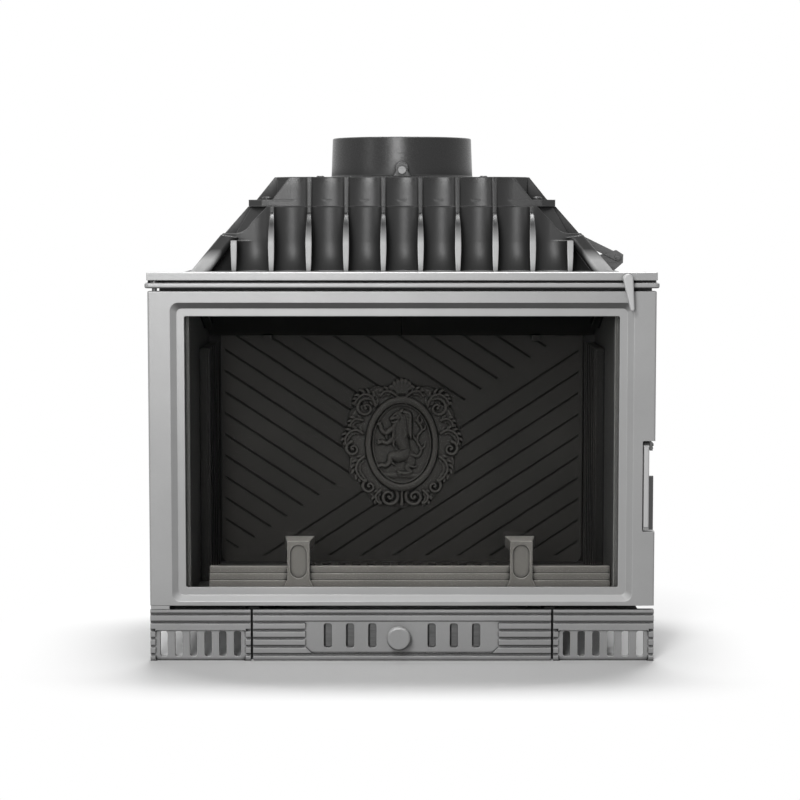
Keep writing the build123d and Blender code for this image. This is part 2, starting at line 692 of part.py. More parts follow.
with BuildPart() as upper_front:
    with BuildSketch(side_plane(-upper_half_base - 10)):
        Polygon((apron_back_y, hood_seam_z), (apron_back_y, hood_top_z), (upper_floor_top_y, hood_top_z),
                (upper_floor_base_y, hood_seam_z), align=None)
    extrude(amount=2 * upper_half_base + 20)
    with BuildSketch(side_plane(-upper_rib_count / 2 * rib_pitch)):
        Polygon((apron_back_y, hood_seam_z), (apron_back_y, hood_top_z), (upper_tip_top_y, hood_top_z),
                (upper_tip_base_y, hood_seam_z), align=None)
    extrude(amount=upper_rib_count * rib_pitch)
    scoop_plane = Plane(origin=(0, upper_floor_base_y, hood_seam_z), x_dir=(1, 0, 0),
                        z_dir=(0, math.sin(math.radians(upper_tilt)), math.cos(math.radians(upper_tilt))))
    with BuildSketch(scoop_plane.offset(-5)):
        for index in range(-upper_rib_count // 2, upper_rib_count // 2 + 1):
            with Locations((index * rib_pitch, -upper_flute_scoop)):
                Ellipse(upper_flute_half, upper_flute_scoop)
            with Locations((index * rib_pitch, -upper_flute_scoop - 10)):
                Rectangle(2 * upper_flute_half, 20)
    extrude(amount=upper_height + 15, mode=Mode.SUBTRACT)
    with BuildSketch(front_plane(apron_back_y + 10)):
        Polygon((-upper_half_base - 8, hood_seam_z), (upper_half_base + 8, hood_seam_z),
                (upper_half_top, hood_top_z), (-upper_half_top, hood_top_z), align=None)
    extrude(amount=60, mode=Mode.INTERSECT)

with BuildPart() as hood_upper:
    with BuildSketch(Plane.XY.offset(hood_seam_z)):
        Polygon(*octagon(upper_core_half, upper_core_depth, upper_core_cut), align=None)
    extrude(amount=upper_height)
    with BuildSketch(Plane.XY.offset(hood_seam_z)):
        Polygon(*octagon(flange_half_x, flange_half_y, upper_core_cut), align=None)
    extrude(amount=hood_flange_thick)
    add(upper_front.part)
    add(upper_front.part.mirror(Plane.XZ))
    for index in (-1.5, -0.5, 0.5, 1.5):
        for side in (-1, 1):
            with BuildSketch(front_plane(index * rib_pitch + fin_thick / 2)):
                Polygon((side * (upper_core_half - 10), hood_seam_z), (side * upper_fin_base, hood_seam_z),
                        (side * upper_fin_base, flange_top_z), (side * upper_fin_top, hood_top_z),
                        (side * (upper_core_half - 10), hood_top_z), align=None)
            extrude(amount=fin_thick)
    with BuildSketch(Plane.XY.offset(hood_seam_z)):
        Polygon(*octagon(upper_core_half - hood_wall, upper_core_depth - hood_wall, upper_core_cut),
                align=None)
    extrude(amount=upper_height - hood_wall, mode=Mode.SUBTRACT)
    round_z(0, 0, throat_r, (hood_top_z - hood_wall - 1, hood_top_z + 1), Mode.SUBTRACT)
    with Locations((hood_bolt_x, hood_bolt_y, flange_top_z), (-hood_bolt_x, hood_bolt_y, flange_top_z),
                   (hood_bolt_x, -hood_bolt_y, flange_top_z), (-hood_bolt_x, -hood_bolt_y, flange_top_z)):
        Hole(hood_bolt_r + slide_clear, hood_flange_thick)
hood_upper.part.label = "hood_upper"
export_step(hood_upper.part, "parts/hood_upper.step")

# dome-headed bolts that clamp the upper hood to the lower one
bolt_head_r = 7.0
bolt_head_height = 4.2

with BuildPart() as hood_flange_bolts:
    for x_side in (-1, 1):
        for y_side in (-1, 1):
            bolt_at = (x_side * hood_bolt_x, y_side * hood_bolt_y)
            round_z(*bolt_at, hood_bolt_r, (hood_seam_z + slide_clear, flange_top_z + 1))
            round_z(*bolt_at, bolt_head_r, (flange_top_z, flange_top_z + bolt_head_height))
    head_rims = hood_flange_bolts.edges().filter_by(GeomType.CIRCLE).group_by(Axis.Z)[-1]
    fillet(head_rims, 3.0)
hood_flange_bolts.part.label = "hood_flange_bolts"
export_step(hood_flange_bolts.part, "parts/hood_flange_bolts.step")

# ---------------------------------------------------------------- flue collar with the axle's two lugs
lug_half = 13.0
lug_height = 22.0
lug_ring_r = 6.8
lug_face_y = -(collar_base_r + 7.5)
collar_fillet = 3.0

with BuildPart() as flue_collar:
    with BuildSketch(front_plane(0)):
        with BuildLine():
            Polyline((throat_r, hood_top_z), (collar_base_r + collar_fillet, hood_top_z),
                     (collar_base_r, hood_top_z + collar_fillet), (collar_top_r, collar_top_z - 1),
                     (collar_top_r - 1, collar_top_z), (flue_socket_r, collar_top_z),
                     (flue_socket_r, collar_top_z - flue_socket_depth),
                     (throat_r, collar_top_z - flue_socket_depth), (throat_r, hood_top_z))
        make_face()
    revolve(axis=Axis.Z)
    for end in (-1, 1):
        with BuildSketch(front_plane(lug_face_y + 12 if end < 0 else -lug_face_y)):
            with BuildLine():
                Polyline((-lug_half, hood_top_z), (lug_half, hood_top_z), (lug_ring_r + 1, hood_top_z + 9))
                ThreePointArc((lug_ring_r + 1, hood_top_z + 9), (0, hood_top_z + lug_height),
                              (-lug_ring_r - 1, hood_top_z + 9))
                Line((-lug_ring_r - 1, hood_top_z + 9), (-lug_half, hood_top_z))
            make_face()
        extrude(amount=12)
    round_z(0, 0, throat_r, (hood_top_z - 1, collar_top_z - flue_socket_depth), Mode.SUBTRACT)
    round_y(0, axle_z, axle_r + run_clear, (lug_face_y - 5, -lug_face_y + 5), Mode.SUBTRACT)
flue_collar.part.label = "flue_collar"
export_step(flue_collar.part, "parts/flue_collar.step")

collar_bolt_x = 118.0
collar_bolt_y = 34.0
collar_bolt_foot_r = 7.0
collar_bolt_top_r = 4.5
collar_bolt_height = 3.0

with BuildPart() as collar_bolts:
    for x_side in (-1, 1):
        for y_side in (-1, 1):
            with Locations((x_side * collar_bolt_x, y_side * collar_bolt_y, hood_top_z)):
                Cone(collar_bolt_foot_r, collar_bolt_top_r, collar_bolt_height,
                     align=(Align.CENTER, Align.CENTER, Align.MIN))
collar_bolts.part.label = "collar_bolts"
export_step(collar_bolts.part, "parts/collar_bolts.step")

# ================================================================ plinth grilles
band_pitch = 11.35
band_groove_top_z = 65.5
band_groove_width = 4.4
band_groove_floor = 1.6
band_groove_depth = 3.0
grille_slot_pitch = 20.5
grille_slot_width = 10.4
grille_slot_count = 6
grille_slot_z = (5.5, 41.5)
grille_panel_top_z = 43.0
stub_length = 7.0
tab_inset = 8.0
ledge_inset = 22.0
tab_thick = 8.0
grille_middle_x = (grille_start_x + door_half) / 2


def band_grooves(x0, x1, count, first=0):
    """Level grooves that leave rounded bands on a plinth face, cut with sloping flanks."""
    for row in range(first, first + count):
        groove_z = band_groove_top_z - row * band_pitch
        with BuildSketch(side_plane(x0)) as groove:
            Polygon((door_face_y - 1, groove_z - band_groove_width / 2 - 0.7),
                    (door_face_y - 1, groove_z + band_groove_width / 2 + 0.7),
                    (door_face_y + band_groove_depth, groove_z + band_groove_floor / 2),
                    (door_face_y + band_groove_depth, groove_z - band_groove_floor / 2), align=None)
        extrude(groove.sketch, amount=x1 - x0, mode=Mode.SUBTRACT)


for side, name in ((-1, "left_grille"), (1, "right_grille")):
    with BuildPart() as grille:
        x0, x1 = sorted((side * grille_start_x, side * door_half))
        block((x0, x1), (door_face_y, door_face_y + plinth_thick), (0, plinth_height))
        band_grooves(x0 - 1, x1 + 1, 2)
        for end_x in (x0, x1):
            inward = 1 if end_x == x0 else -1
            a, b = sorted((end_x - inward, end_x + inward * stub_length))
            band_grooves(a, b, 4, first=2)
        panel_half = (x1 - x0) / 2 - stub_length
        with BuildSketch(front_plane(door_face_y + band_groove_depth)):
            with Locations((side * grille_middle_x, grille_panel_top_z / 2)):
                RectangleRounded(2 * panel_half, grille_panel_top_z, 2.5)
        extrude(amount=band_groove_depth + 1, mode=Mode.SUBTRACT)
        with BuildSketch(front_plane(door_face_y + plinth_thick + 1)):
            for index in range(grille_slot_count):
                slot_x = side * grille_middle_x + (index - (grille_slot_count - 1) / 2) * grille_slot_pitch
                with Locations((slot_x, sum(grille_slot_z) / 2)):
                    RectangleRounded(grille_slot_width, grille_slot_z[1] - grille_slot_z[0], 3.4)
        extrude(amount=plinth_thick + 2, mode=Mode.SUBTRACT)
        # tab at the back that runs under the front frame and bears against it
        block(sorted((side * (grille_start_x + tab_inset), side * (wall_half_outer - tab_inset))),
              (door_face_y + plinth_thick, frame_back_y), (plinth_height - tab_thick, plinth_height))
        block(sorted((side * (wall_half_outer - tab_inset), side * (door_half - ledge_inset))),
              (door_face_y + plinth_thick, frame_back_y), (plinth_height - tab_thick, plinth_height))
        block(sorted((side * (grille_start_x + tab_inset), side * (wall_half_outer - tab_inset))),
              (frame_face_y, frame_back_y), (plinth_height, base_bottom_z))
    grille.part.label = name
    export_step(grille.part, f"parts/{name}.step")

# ================================================================ ash drawer
front_panel_half = 134.5
front_panel_z = (11.0, 54.0)
shutter_half_x = 128.0
shutter_z = (13.0, 57.5)
shutter_thick = 3.0
front_back_y = door_face_y + plinth_thick
shutter_face_y = front_back_y + seat_clear
stem_r = 4.0
shutter_open = air_slot_width - shutter_gap_at_rest
drawer_bottom_z = 1.0
air_slot_xs = [side * (slot_pitch * step + 41.3) for side in (-1, 1) for step in (0, 1, 2)]

with BuildPart() as ash_drawer_front:
    block((-drawer_half_width, drawer_half_width), (door_face_y, front_back_y),
          (drawer_bottom_z, plinth_height))
    band_grooves(-drawer_half_width - 1, drawer_half_width + 1, 6)
    with BuildSketch(front_plane(door_face_y + band_groove_depth)):
        Polygon((-front_panel_half, front_panel_z[1]), (-front_panel_half, front_panel_z[0] + 8),
                (-front_panel_half + 8, front_panel_z[0]), (front_panel_half - 8, front_panel_z[0]),
                (front_panel_half, front_panel_z[0] + 8), (front_panel_half, front_panel_z[1]), align=None)
    extrude(amount=band_groove_depth + 1, mode=Mode.SUBTRACT)
    with BuildSketch(front_plane(front_back_y + 1)):
        for slot_x in air_slot_xs:
            with Locations((slot_x, (air_slot_bottom_z + air_slot_top_z) / 2)):
                RectangleRounded(air_slot_width, air_slot_top_z - air_slot_bottom_z, 4.0)
        with Locations((knob_x + (shutter_open - shutter_gap_at_rest) / 2, knob_z)):
            SlotOverall(shutter_open + shutter_gap_at_rest + 2 * stem_r + 1.5, 2 * stem_r + 1.0)
    extrude(amount=plinth_thick + 2, mode=Mode.SUBTRACT)
ash_drawer_front.part.label = "ash_drawer_front"
export_step(ash_drawer_front.part, "parts/ash_drawer_front.step")

# sliding plate behind the six air slots
with BuildPart() as air_shutter:
    block((-shutter_half_x, shutter_half_x), (shutter_face_y, shutter_face_y + shutter_thick), shutter_z)
    with BuildSketch(front_plane(shutter_face_y + shutter_thick + 1)):
        for slot_x in air_slot_xs:
            with Locations((slot_x - shutter_open, (air_slot_bottom_z + air_slot_top_z) / 2)):
                RectangleRounded(air_slot_width, air_slot_top_z - air_slot_bottom_z - 1, 3.0)
    extrude(amount=shutter_thick + 2, mode=Mode.SUBTRACT)
air_shutter.part.label = "air_shutter"
export_step(air_shutter.part, "parts/air_shutter.step")

# turned knob whose stem passes through the slot and screws into the shutter
knob_front_y = door_face_y - knob_reach
panel_face_y = door_face_y + band_groove_depth

with BuildPart() as shutter_knob:
    with BuildSketch(side_plane(knob_x)):
        with BuildLine():
            Polyline((knob_front_y, knob_z), (knob_front_y, knob_z + knob_r - 3))
            ThreePointArc((knob_front_y, knob_z + knob_r - 3), (knob_front_y + 1, knob_z + knob_r - 0.9),
                          (knob_front_y + 3, knob_z + knob_r))
            Polyline((knob_front_y + 3, knob_z + knob_r), (knob_front_y + 8, knob_z + knob_r),
                     (knob_front_y + 13, knob_z + 8), (panel_face_y - seat_clear, knob_z + 8),
                     (panel_face_y - seat_clear, knob_z + stem_r), (shutter_face_y, knob_z + stem_r),
                     (shutter_face_y, knob_z), (knob_front_y, knob_z))
        make_face()
    revolve(axis=Axis((knob_x, 0, knob_z), (0, 1, 0)))
shutter_knob.part.label = "shutter_knob"
export_step(shutter_knob.part, "parts/shutter_knob.step")

# hooked strips that hold the shutter against the drawer's front
with BuildPart() as shutter_guides:
    for edge_z, away in ((shutter_z[1], 1), (shutter_z[0], -1)):
        root = edge_z + away * seat_clear
        tip = edge_z + away * 6.0
        lip = edge_z - away * 4.0
        lip_y = shutter_face_y + shutter_thick + seat_clear
        block((-shutter_half_x - 12, shutter_half_x + 12), (front_back_y, lip_y), sorted((root, tip)))
        block((-shutter_half_x - 12, shutter_half_x + 12), (lip_y, lip_y + 2.0), sorted((lip, tip)))
shutter_guides.part.label = "shutter_guides"
export_step(shutter_guides.part, "parts/shutter_guides.step")

pan_front_y = front_back_y + 9.0
pan_half = bay_half_inner - 9.0 - 2 * slide_clear
pan_bottom_z = 4.0 + slide_clear
pan_top_z = base_bottom_z - 6.0
pan_wing = 7.0

with BuildPart() as ash_pan:
    pan_outer = pan_half + pan_wing
    pan_back_y = pan_front_y + pan_depth
    wall_low_z = pan_bottom_z + pan_wall + seat_clear
    block((-pan_outer, pan_outer), (pan_front_y, pan_back_y), (pan_bottom_z, pan_bottom_z + pan_wall))
    # welded sheets: the front and the back run across, the sides fit between them
    for wall_y in (pan_front_y, pan_back_y - pan_wall):
        block((-pan_outer, pan_outer), (wall_y, wall_y + pan_wall), (wall_low_z, pan_top_z))
    for side in (-1, 1):
        block(sorted((side * (pan_outer - pan_wall), side * pan_outer)),
              (pan_front_y + pan_wall + seat_clear, pan_back_y - pan_wall - seat_clear),
              (wall_low_z, pan_top_z))
    # the pan hangs on the front plate by two brackets at its ends
    for side in (-1, 1):
        block(sorted((side * (shutter_half_x + 16), side * (pan_half - 4))), (front_back_y, pan_front_y),
              (14.0, 52.0))
ash_pan.part.label = "ash_pan"
export_step(ash_pan.part, "parts/ash_pan.step")

# ================================================================ door
window_lip = 9.0
window_height = window_top_z - window_bottom_z
glass_thick = 4.0
glass_half = window_half + window_lip - loose_clear
rebate_face_y = door_back_y - 9.0
rope_width = 8.0
rope_offset = 17.6
rope_offset_z = 14.1
rope_centre = window_half + rope_offset
rope_centre_z = window_height / 2 + rope_offset_z
rope_floor_y = door_back_y - 4.0

with BuildPart() as door_frame:
    block((-door_half, door_half), (door_face_y, door_back_y), (door_bottom_z, door_top_z))
    window_size = (2 * window_half, window_top_z - window_bottom_z)
    window_middle = (0, (window_top_z + window_bottom_z) / 2)
    with BuildSketch(front_plane(door_back_y + 1)):
        with Locations(window_middle):
            RectangleRounded(*window_size, 2.5)
    extrude(amount=door_thick + 2, mode=Mode.SUBTRACT)
    # stepped moulding: a sloping flank down to a flat lip around the window
    with BuildSketch(front_plane(door_face_y - 1)):
        with Locations(window_middle):
            RectangleRounded(window_size[0] + 2 * (moulding_lip + moulding_slope) + 2,
                             window_size[1] + 2 * (moulding_lip + moulding_slope) + 2, 12.0)
    with BuildSketch(front_plane(door_face_y + moulding_depth)):
        with Locations(window_middle):
            RectangleRounded(window_size[0] + 2 * moulding_lip, window_size[1] + 2 * moulding_lip, 7.0)
    loft(ruled=True, mode=Mode.SUBTRACT)
    # rebate for the glass and groove for the rope, both in the back
    with BuildSketch(front_plane(door_back_y + 1)):
        with Locations(window_middle):
            RectangleRounded(window_size[0] + 2 * window_lip, window_size[1] + 2 * window_lip, 3.0)
    extrude(amount=door_back_y + 1 - rebate_face_y, mode=Mode.SUBTRACT)
    with BuildSketch(front_plane(door_back_y + 1)):
        with Locations(window_middle):
            Rectangle(2 * rope_centre + rope_width, 2 * rope_centre_z + rope_width)
            Rectangle(2 * rope_centre - rope_width, 2 * rope_centre_z - rope_width,
                      mode=Mode.SUBTRACT)
    extrude(amount=door_back_y + 1 - rope_floor_y, mode=Mode.SUBTRACT)
    hinge_side = (door_frame.edges().filter_by(Axis.Z)
                  .filter_by_position(Axis.X, -door_half - 0.1, -door_half + 0.1))
    fillet(hinge_side.sort_by(Axis.Y)[-1], 9.0)
    fillet(door_frame.edges().filter_by(Axis.Z).group_by(Axis.Y)[0], 2.5)
    top_edges = (door_frame.edges().filter_by(Axis.X)
                 .filter_by_position(Axis.Z, door_top_z - 0.1, door_top_z + 0.1))
    fillet(top_edges.sort_by(Axis.Y)[0], 1.5)
    with BuildSketch(front_plane(door_back_y + 1)):
        with Locations((door_half - (door_half - notch_left_x) / 2 + 5, (notch_bottom_z + notch_top_z) / 2)):
            RectangleRounded(door_half - notch_left_x + 10, notch_top_z - notch_bottom_z, 2.0)
    extrude(amount=door_thick + 2, mode=Mode.SUBTRACT)
    for low, high in ((door_bottom_z - 1, door_bottom_z + hinge_pin_reach),
                      (door_top_z - hinge_pin_reach, door_top_z + 1)):
        round_z(hinge_x, hinge_y, hinge_pin_r + run_clear, (low, high), Mode.SUBTRACT)
    round_x(handle_pivot_y, handle_pivot_z, 2.0, (notch_left_x - 12, notch_left_x + 1), Mode.SUBTRACT)
door_frame.part.label = "door_frame"
export_step(door_frame.part, "parts/door_frame.step")

gasket_thick = 1.0
glass_front_y = rebate_face_y + gasket_thick
glass_size = (2 * glass_half, window_size[1] + 2 * (window_lip - loose_clear))

with BuildPart() as door_glass:
    with BuildSketch(front_plane(glass_front_y + glass_thick)):
        with Locations(window_middle):
            RectangleRounded(*glass_size, 3.0)
    extrude(amount=glass_thick)
door_glass.part.label = "door_glass"
export_step(door_glass.part, "parts/door_glass.step")

with BuildPart() as glass_gasket:
    with BuildSketch(front_plane(glass_front_y)):
        with Locations(window_middle):
            RectangleRounded(glass_size[0], glass_size[1], 3.0)
            RectangleRounded(window_size[0] + 4, window_size[1] + 4, 2.0, mode=Mode.SUBTRACT)
    extrude(amount=gasket_thick)
glass_gasket.part.label = "glass_gasket"
export_step(glass_gasket.part, "parts/glass_gasket.step")

glass_back_y = glass_front_y + glass_thick
clip_xs = (100.4 - window_half, 0.0, window_half - 100.4)
clip_half = 9.0
clip_thick = 1.5

with BuildPart() as glass_clips:
    for clip_x in clip_xs:
        for edge_z, away in ((window_top_z, 1), (window_bottom_z, -1)):
            reach = sorted((edge_z + away * 1.0, edge_z + away * (window_lip - slide_clear)))
            block((clip_x - clip_half, clip_x + clip_half), (glass_back_y, glass_back_y + clip_thick), reach)

with BuildPart() as clip_screws:
    for clip_x in clip_xs:
        for edge_z, away in ((window_top_z, 1), (window_bottom_z, -1)):
            round_y(clip_x, edge_z + away * 4.5, 3.2, (glass_back_y + clip_thick, door_back_y + 0.6))
clip_screws.part.label = "clip_screws"
export_step(clip_screws.part, "parts/clip_screws.step")

glass_clips.part.label = "glass_clips"
export_step(glass_clips.part, "parts/glass_clips.step")

with BuildPart() as door_seal_rope:
    with BuildSketch(front_plane(frame_face_y - seat_clear)):
        with Locations(window_middle):
            Rectangle(2 * rope_centre + rope_width - 1, 2 * rope_centre_z + rope_width - 1)
            Rectangle(2 * rope_centre - rope_width + 1, 2 * rope_centre_z - rope_width + 1,
                      mode=Mode.SUBTRACT)
    extrude(amount=frame_face_y - seat_clear - rope_floor_y - seat_clear)
    fillet(door_seal_rope.faces().sort_by(Axis.Y)[-1].edges(), 2.0)
door_seal_rope.part.label = "door_seal_rope"
export_step(door_seal_rope.part, "parts/door_seal_rope.step")

# hinge pins: one drops through the rail, the other stands in the lug under the door
pin_head_r = 5.5
pin_head_height = 3.2

with BuildPart() as upper_hinge_pin:
    round_z(hinge_x, hinge_y, hinge_pin_r, (door_top_z - hinge_pin_reach + 1, rail_top_z + 1))
    round_z(hinge_x, hinge_y, pin_head_r, (rail_top_z, rail_top_z + pin_head_height))
    fillet(upper_hinge_pin.edges().filter_by(GeomType.CIRCLE).group_by(Axis.Z)[-1], 2.2)
upper_hinge_pin.part.label = "upper_hinge_pin"
export_step(upper_hinge_pin.part, "parts/upper_hinge_pin.step")

with BuildPart() as lower_hinge_pin:
    round_z(hinge_x, hinge_y, hinge_pin_r, (lug_bottom_z, door_bottom_z + hinge_pin_reach - 1))
lower_hinge_pin.part.label = "lower_hinge_pin"
export_step(lower_hinge_pin.part, "parts/lower_hinge_pin.step")

# ---------------------------------------------------------------- latch
grip_x = (notch_left_x + 1.5, notch_left_x + 9.5)
scoop_x = door_half - 2.0
scoop_top_z = notch_bottom_z + 77.0
grip_bottom_z = notch_bottom_z + 6.0
eye_r = 5.0
grip_face_y = door_face_y + 1.5
grip_thick = 7.0
pin_r = 2.0
cross_pin_r = 1.25
cross_pin_y = handle_pivot_y + 1.0
cross_pin_z = handle_pivot_z - 4.9
pawl_x = (grip_x[1] + 1.2, grip_x[1] + 5.2)
keeper_bottom_z = handle_pivot_z + 8.0
nose_height = 15.0
keeper_thick = 6.0
nose_front_y = frame_face_y + keeper_thick + 0.6
nose_thick = 5.4

with BuildPart() as door_handle:
    block(grip_x, (grip_face_y, grip_face_y + grip_thick), (grip_bottom_z, handle_pivot_z - 2))
    block((grip_x[1] - 1, scoop_x), (grip_face_y + 3.5, grip_face_y + grip_thick + 3),
          (grip_bottom_z - 4, scoop_top_z))
    block(grip_x, (grip_face_y + 2, grip_face_y + grip_thick + 3), (grip_bottom_z - 4, grip_bottom_z + 5))
    block(grip_x, (grip_face_y + 1, handle_pivot_y), (handle_pivot_z - 9, handle_pivot_z))
    round_x(handle_pivot_y, handle_pivot_z, eye_r, grip_x)
    grip_edges = door_handle.edges().filter_by(Axis.Z).group_by(Axis.Y)[0]
    fillet(grip_edges, 2.0)
    round_x(handle_pivot_y, handle_pivot_z, pin_r + run_clear, (grip_x[0] - 1, grip_x[1] + 1), Mode.SUBTRACT)
    round_x(cross_pin_y, cross_pin_z, cross_pin_r + run_clear, (grip_x[0] - 1, grip_x[1] + 1), Mode.SUBTRACT)
door_handle.part.label = "door_handle"
export_step(door_handle.part, "parts/door_handle.step")

with BuildPart() as latch_pawl:
    with BuildSketch(side_plane(pawl_x[0])):
        Polygon((handle_pivot_y - 4, handle_pivot_z + 3.6), (handle_pivot_y - 4, cross_pin_z - 3),
                (nose_front_y + nose_thick, cross_pin_z - 3),
                (nose_front_y + nose_thick, handle_pivot_z + nose_height),
                (nose_front_y, handle_pivot_z + nose_height), (nose_front_y, handle_pivot_z + 3.6),
                align=None)
    extrude(amount=pawl_x[1] - pawl_x[0])
    round_x(handle_pivot_y, handle_pivot_z, pin_r + run_clear, (pawl_x[0] - 1, pawl_x[1] + 1), Mode.SUBTRACT)
    round_x(cross_pin_y, cross_pin_z, cross_pin_r + run_clear, (pawl_x[0] - 1, pawl_x[1] + 1), Mode.SUBTRACT)
latch_pawl.part.label = "latch_pawl"
export_step(latch_pawl.part, "parts/latch_pawl.step")

with BuildPart() as handle_pivot_pin:
    round_x(handle_pivot_y, handle_pivot_z, pin_r, (notch_left_x - 12, pawl_x[1] + 1.5))
handle_pivot_pin.part.label = "handle_pivot_pin"
export_step(handle_pivot_pin.part, "parts/handle_pivot_pin.step")

with BuildPart() as latch_cross_pin:
    round_x(cross_pin_y, cross_pin_z, cross_pin_r, (grip_x[0] - 0.8, pawl_x[1] + 1.0))
latch_cross_pin.part.label = "latch_cross_pin"
export_step(latch_cross_pin.part, "parts/latch_cross_pin.step")

# keeper plate on the edge of the right jamb; the pawl's nose rises behind its lower edge
with BuildPart() as latch_keeper:
    block((jamb_half_outer, pawl_x[1] + 1.8), (frame_face_y, frame_face_y + keeper_thick),
          (keeper_bottom_z, keeper_bottom_z + 22))
    block((jamb_half_outer - 20, jamb_half_outer + 4), (frame_back_y, frame_back_y + 4),
          (keeper_bottom_z + 2, keeper_bottom_z + 20))
    block((jamb_half_outer, jamb_half_outer + 4), (frame_face_y + 1, frame_back_y + 1),
          (keeper_bottom_z + 2, keeper_bottom_z + 20))
latch_keeper.part.label = "latch_keeper"
export_step(latch_keeper.part, "parts/latch_keeper.step")

# ================================================================ damper
lever_gap = 12.0
lever_thick = 7.0
lever_top_r = 7.0
lever_tip_r = 3.0
set_screw_r = 1.6
lever_back_y = door_face_y - lever_gap
lever_tip_x = rod_x + lever_length * math.sin(math.radians(lever_tilt))
lever_tip_z = rod_z - lever_length * math.cos(math.radians(lever_tilt))

with BuildPart() as damper_lever:
    with BuildSketch(front_plane(lever_back_y)):
        with Locations((rod_x, rod_z)):
            Circle(lever_top_r)
        with Locations((lever_tip_x, lever_tip_z)):
            Circle(lever_tip_r)
        make_hull()
    extrude(amount=lever_thick)
    fillet(damper_lever.faces().sort_by(Axis.Y)[0].edges(), 2.0)
    round_y(rod_x, rod_z, lever_top_r - 0.5, (lever_back_y - 0.5, rail_face_y - seat_clear))
    round_z(rod_x, lever_back_y - lever_thick / 2, set_screw_r,
            (rod_z + lever_top_r - 1.5, rod_z + lever_top_r + 1.2))
    round_y(rod_x, rod_z, rod_r + run_clear, (lever_back_y - lever_thick + 2, rail_face_y + 1), Mode.SUBTRACT)
damper_lever.part.label = "damper_lever"
export_step(damper_lever.part, "parts/damper_lever.step")

rod_end_y = crank_y + link_thick + 4.0

with BuildPart() as damper_rod:
    round_y(rod_x, rod_z, rod_r, (lever_back_y - lever_thick + 2.2, rod_end_y))
damper_rod.part.label = "damper_rod"
export_step(damper_rod.part, "parts/damper_rod.step")

bracket_y = (118.0, 125.0)

with BuildPart() as rod_bracket:
    block((wall_half_outer, rod_x + 11.0), bracket_y, (rod_z - 18.0, rod_z + 11.0))
    fillet(rod_bracket.edges().filter_by(Axis.Y).group_by(Axis.X)[-1], 6.0)
    round_y(rod_x, rod_z, rod_r + run_clear, (bracket_y[0] - 1, bracket_y[1] + 1), Mode.SUBTRACT)
rod_bracket.part.label = "rod_bracket"
export_step(rod_bracket.part, "parts/rod_bracket.step")

# broad crank on the rod, a long link behind the hood, and a slim crank on the flap's axle
bolt_x = rod_x + crank_dx
bolt_z = rod_z + crank_dz
link_top_x = crank_dx
link_top_z = axle_z + crank_dz
link_half = 5.7
link_pin_r = 3.0

with BuildPart() as rod_crank:
    with BuildSketch(front_plane(crank_y + link_thick)):
        Polygon((rod_x - 8.0, rod_z - 6.0), (rod_x + 8.0, rod_z - 6.0), (bolt_x + 8.5, bolt_z - 8.5),
                (bolt_x + 9.0, bolt_z + 4.0), (bolt_x - 2.0, bolt_z + 11.0), (rod_x - 7.0, rod_z + 26.0),
                (rod_x - 11.0, rod_z + 6.0), align=None)
        with Locations((rod_x, rod_z)):
            Circle(rod_r + run_clear, mode=Mode.SUBTRACT)
        with Locations((bolt_x, bolt_z)):
            Circle(link_pin_r + run_clear, mode=Mode.SUBTRACT)
    extrude(amount=link_thick)
rod_crank.part.label = "rod_crank"
export_step(rod_crank.part, "parts/rod_crank.step")

with BuildPart() as damper_link:
    with BuildSketch(front_plane(link_y + link_thick)):
        for end in ((bolt_x, bolt_z), (link_top_x, link_top_z)):
            with Locations(end):
                Circle(link_half)
        make_hull()
        with Locations((bolt_x, bolt_z)):
            Circle(link_pin_r + run_clear, mode=Mode.SUBTRACT)
        with Locations((link_top_x, link_top_z)):
            Circle(link_pin_r + 0.6, mode=Mode.SUBTRACT)
    extrude(amount=link_thick)
damper_link.part.label = "damper_link"
export_step(damper_link.part, "parts/damper_link.step")

with BuildPart() as link_bolt:
    round_y(bolt_x, bolt_z, link_pin_r, (link_y - 3.6, crank_y + link_thick + 3.0))
    round_y(bolt_x, bolt_z, 4.6, (link_y - 2.6, link_y - 0.2))
    round_y(bolt_x, bolt_z, 5.0, (crank_y + link_thick + 0.1, crank_y + link_thick + 2.2))
link_bolt.part.label = "link_bolt"
export_step(link_bolt.part, "parts/link_bolt.step")

with BuildPart() as axle_crank:
    with BuildSketch(front_plane(crank_y + link_thick)):
        for end in ((0, axle_z), (link_top_x, link_top_z)):
            with Locations(end):
                Circle(8.0)
        make_hull()
        with Locations((0, axle_z)):
            Circle(axle_r + run_clear, mode=Mode.SUBTRACT)
        with Locations((link_top_x, link_top_z)):
            Circle(link_pin_r + run_clear, mode=Mode.SUBTRACT)
    extrude(amount=link_thick)
axle_crank.part.label = "axle_crank"
export_step(axle_crank.part, "parts/axle_crank.step")

with BuildPart() as crank_pin:
    round_y(link_top_x, link_top_z, link_pin_r, (link_y - 3.6, crank_y + link_thick + 3.0))
    round_y(link_top_x, link_top_z, 5.0, (link_y - 3.0, link_y - 0.5))
    round_y(link_top_x, link_top_z, 5.0, (crank_y + link_thick + 0.1, crank_y + link_thick + 2.2))
crank_pin.part.label = "crank_pin"
export_step(crank_pin.part, "parts/crank_pin.step")

axle_front_y = lug_face_y - 2.4

with BuildPart() as damper_axle:
    round_y(0, axle_z, axle_r, (axle_front_y, rod_end_y))
    round_y(0, axle_z, 5.6, (axle_front_y - 0.6, lug_face_y - 0.3))
damper_axle.part.label = "damper_axle"
export_step(damper_axle.part, "parts/damper_axle.step")

flap_r = throat_r - 4.0
flap_thick = 4.0
flap_boss_r = 7.5

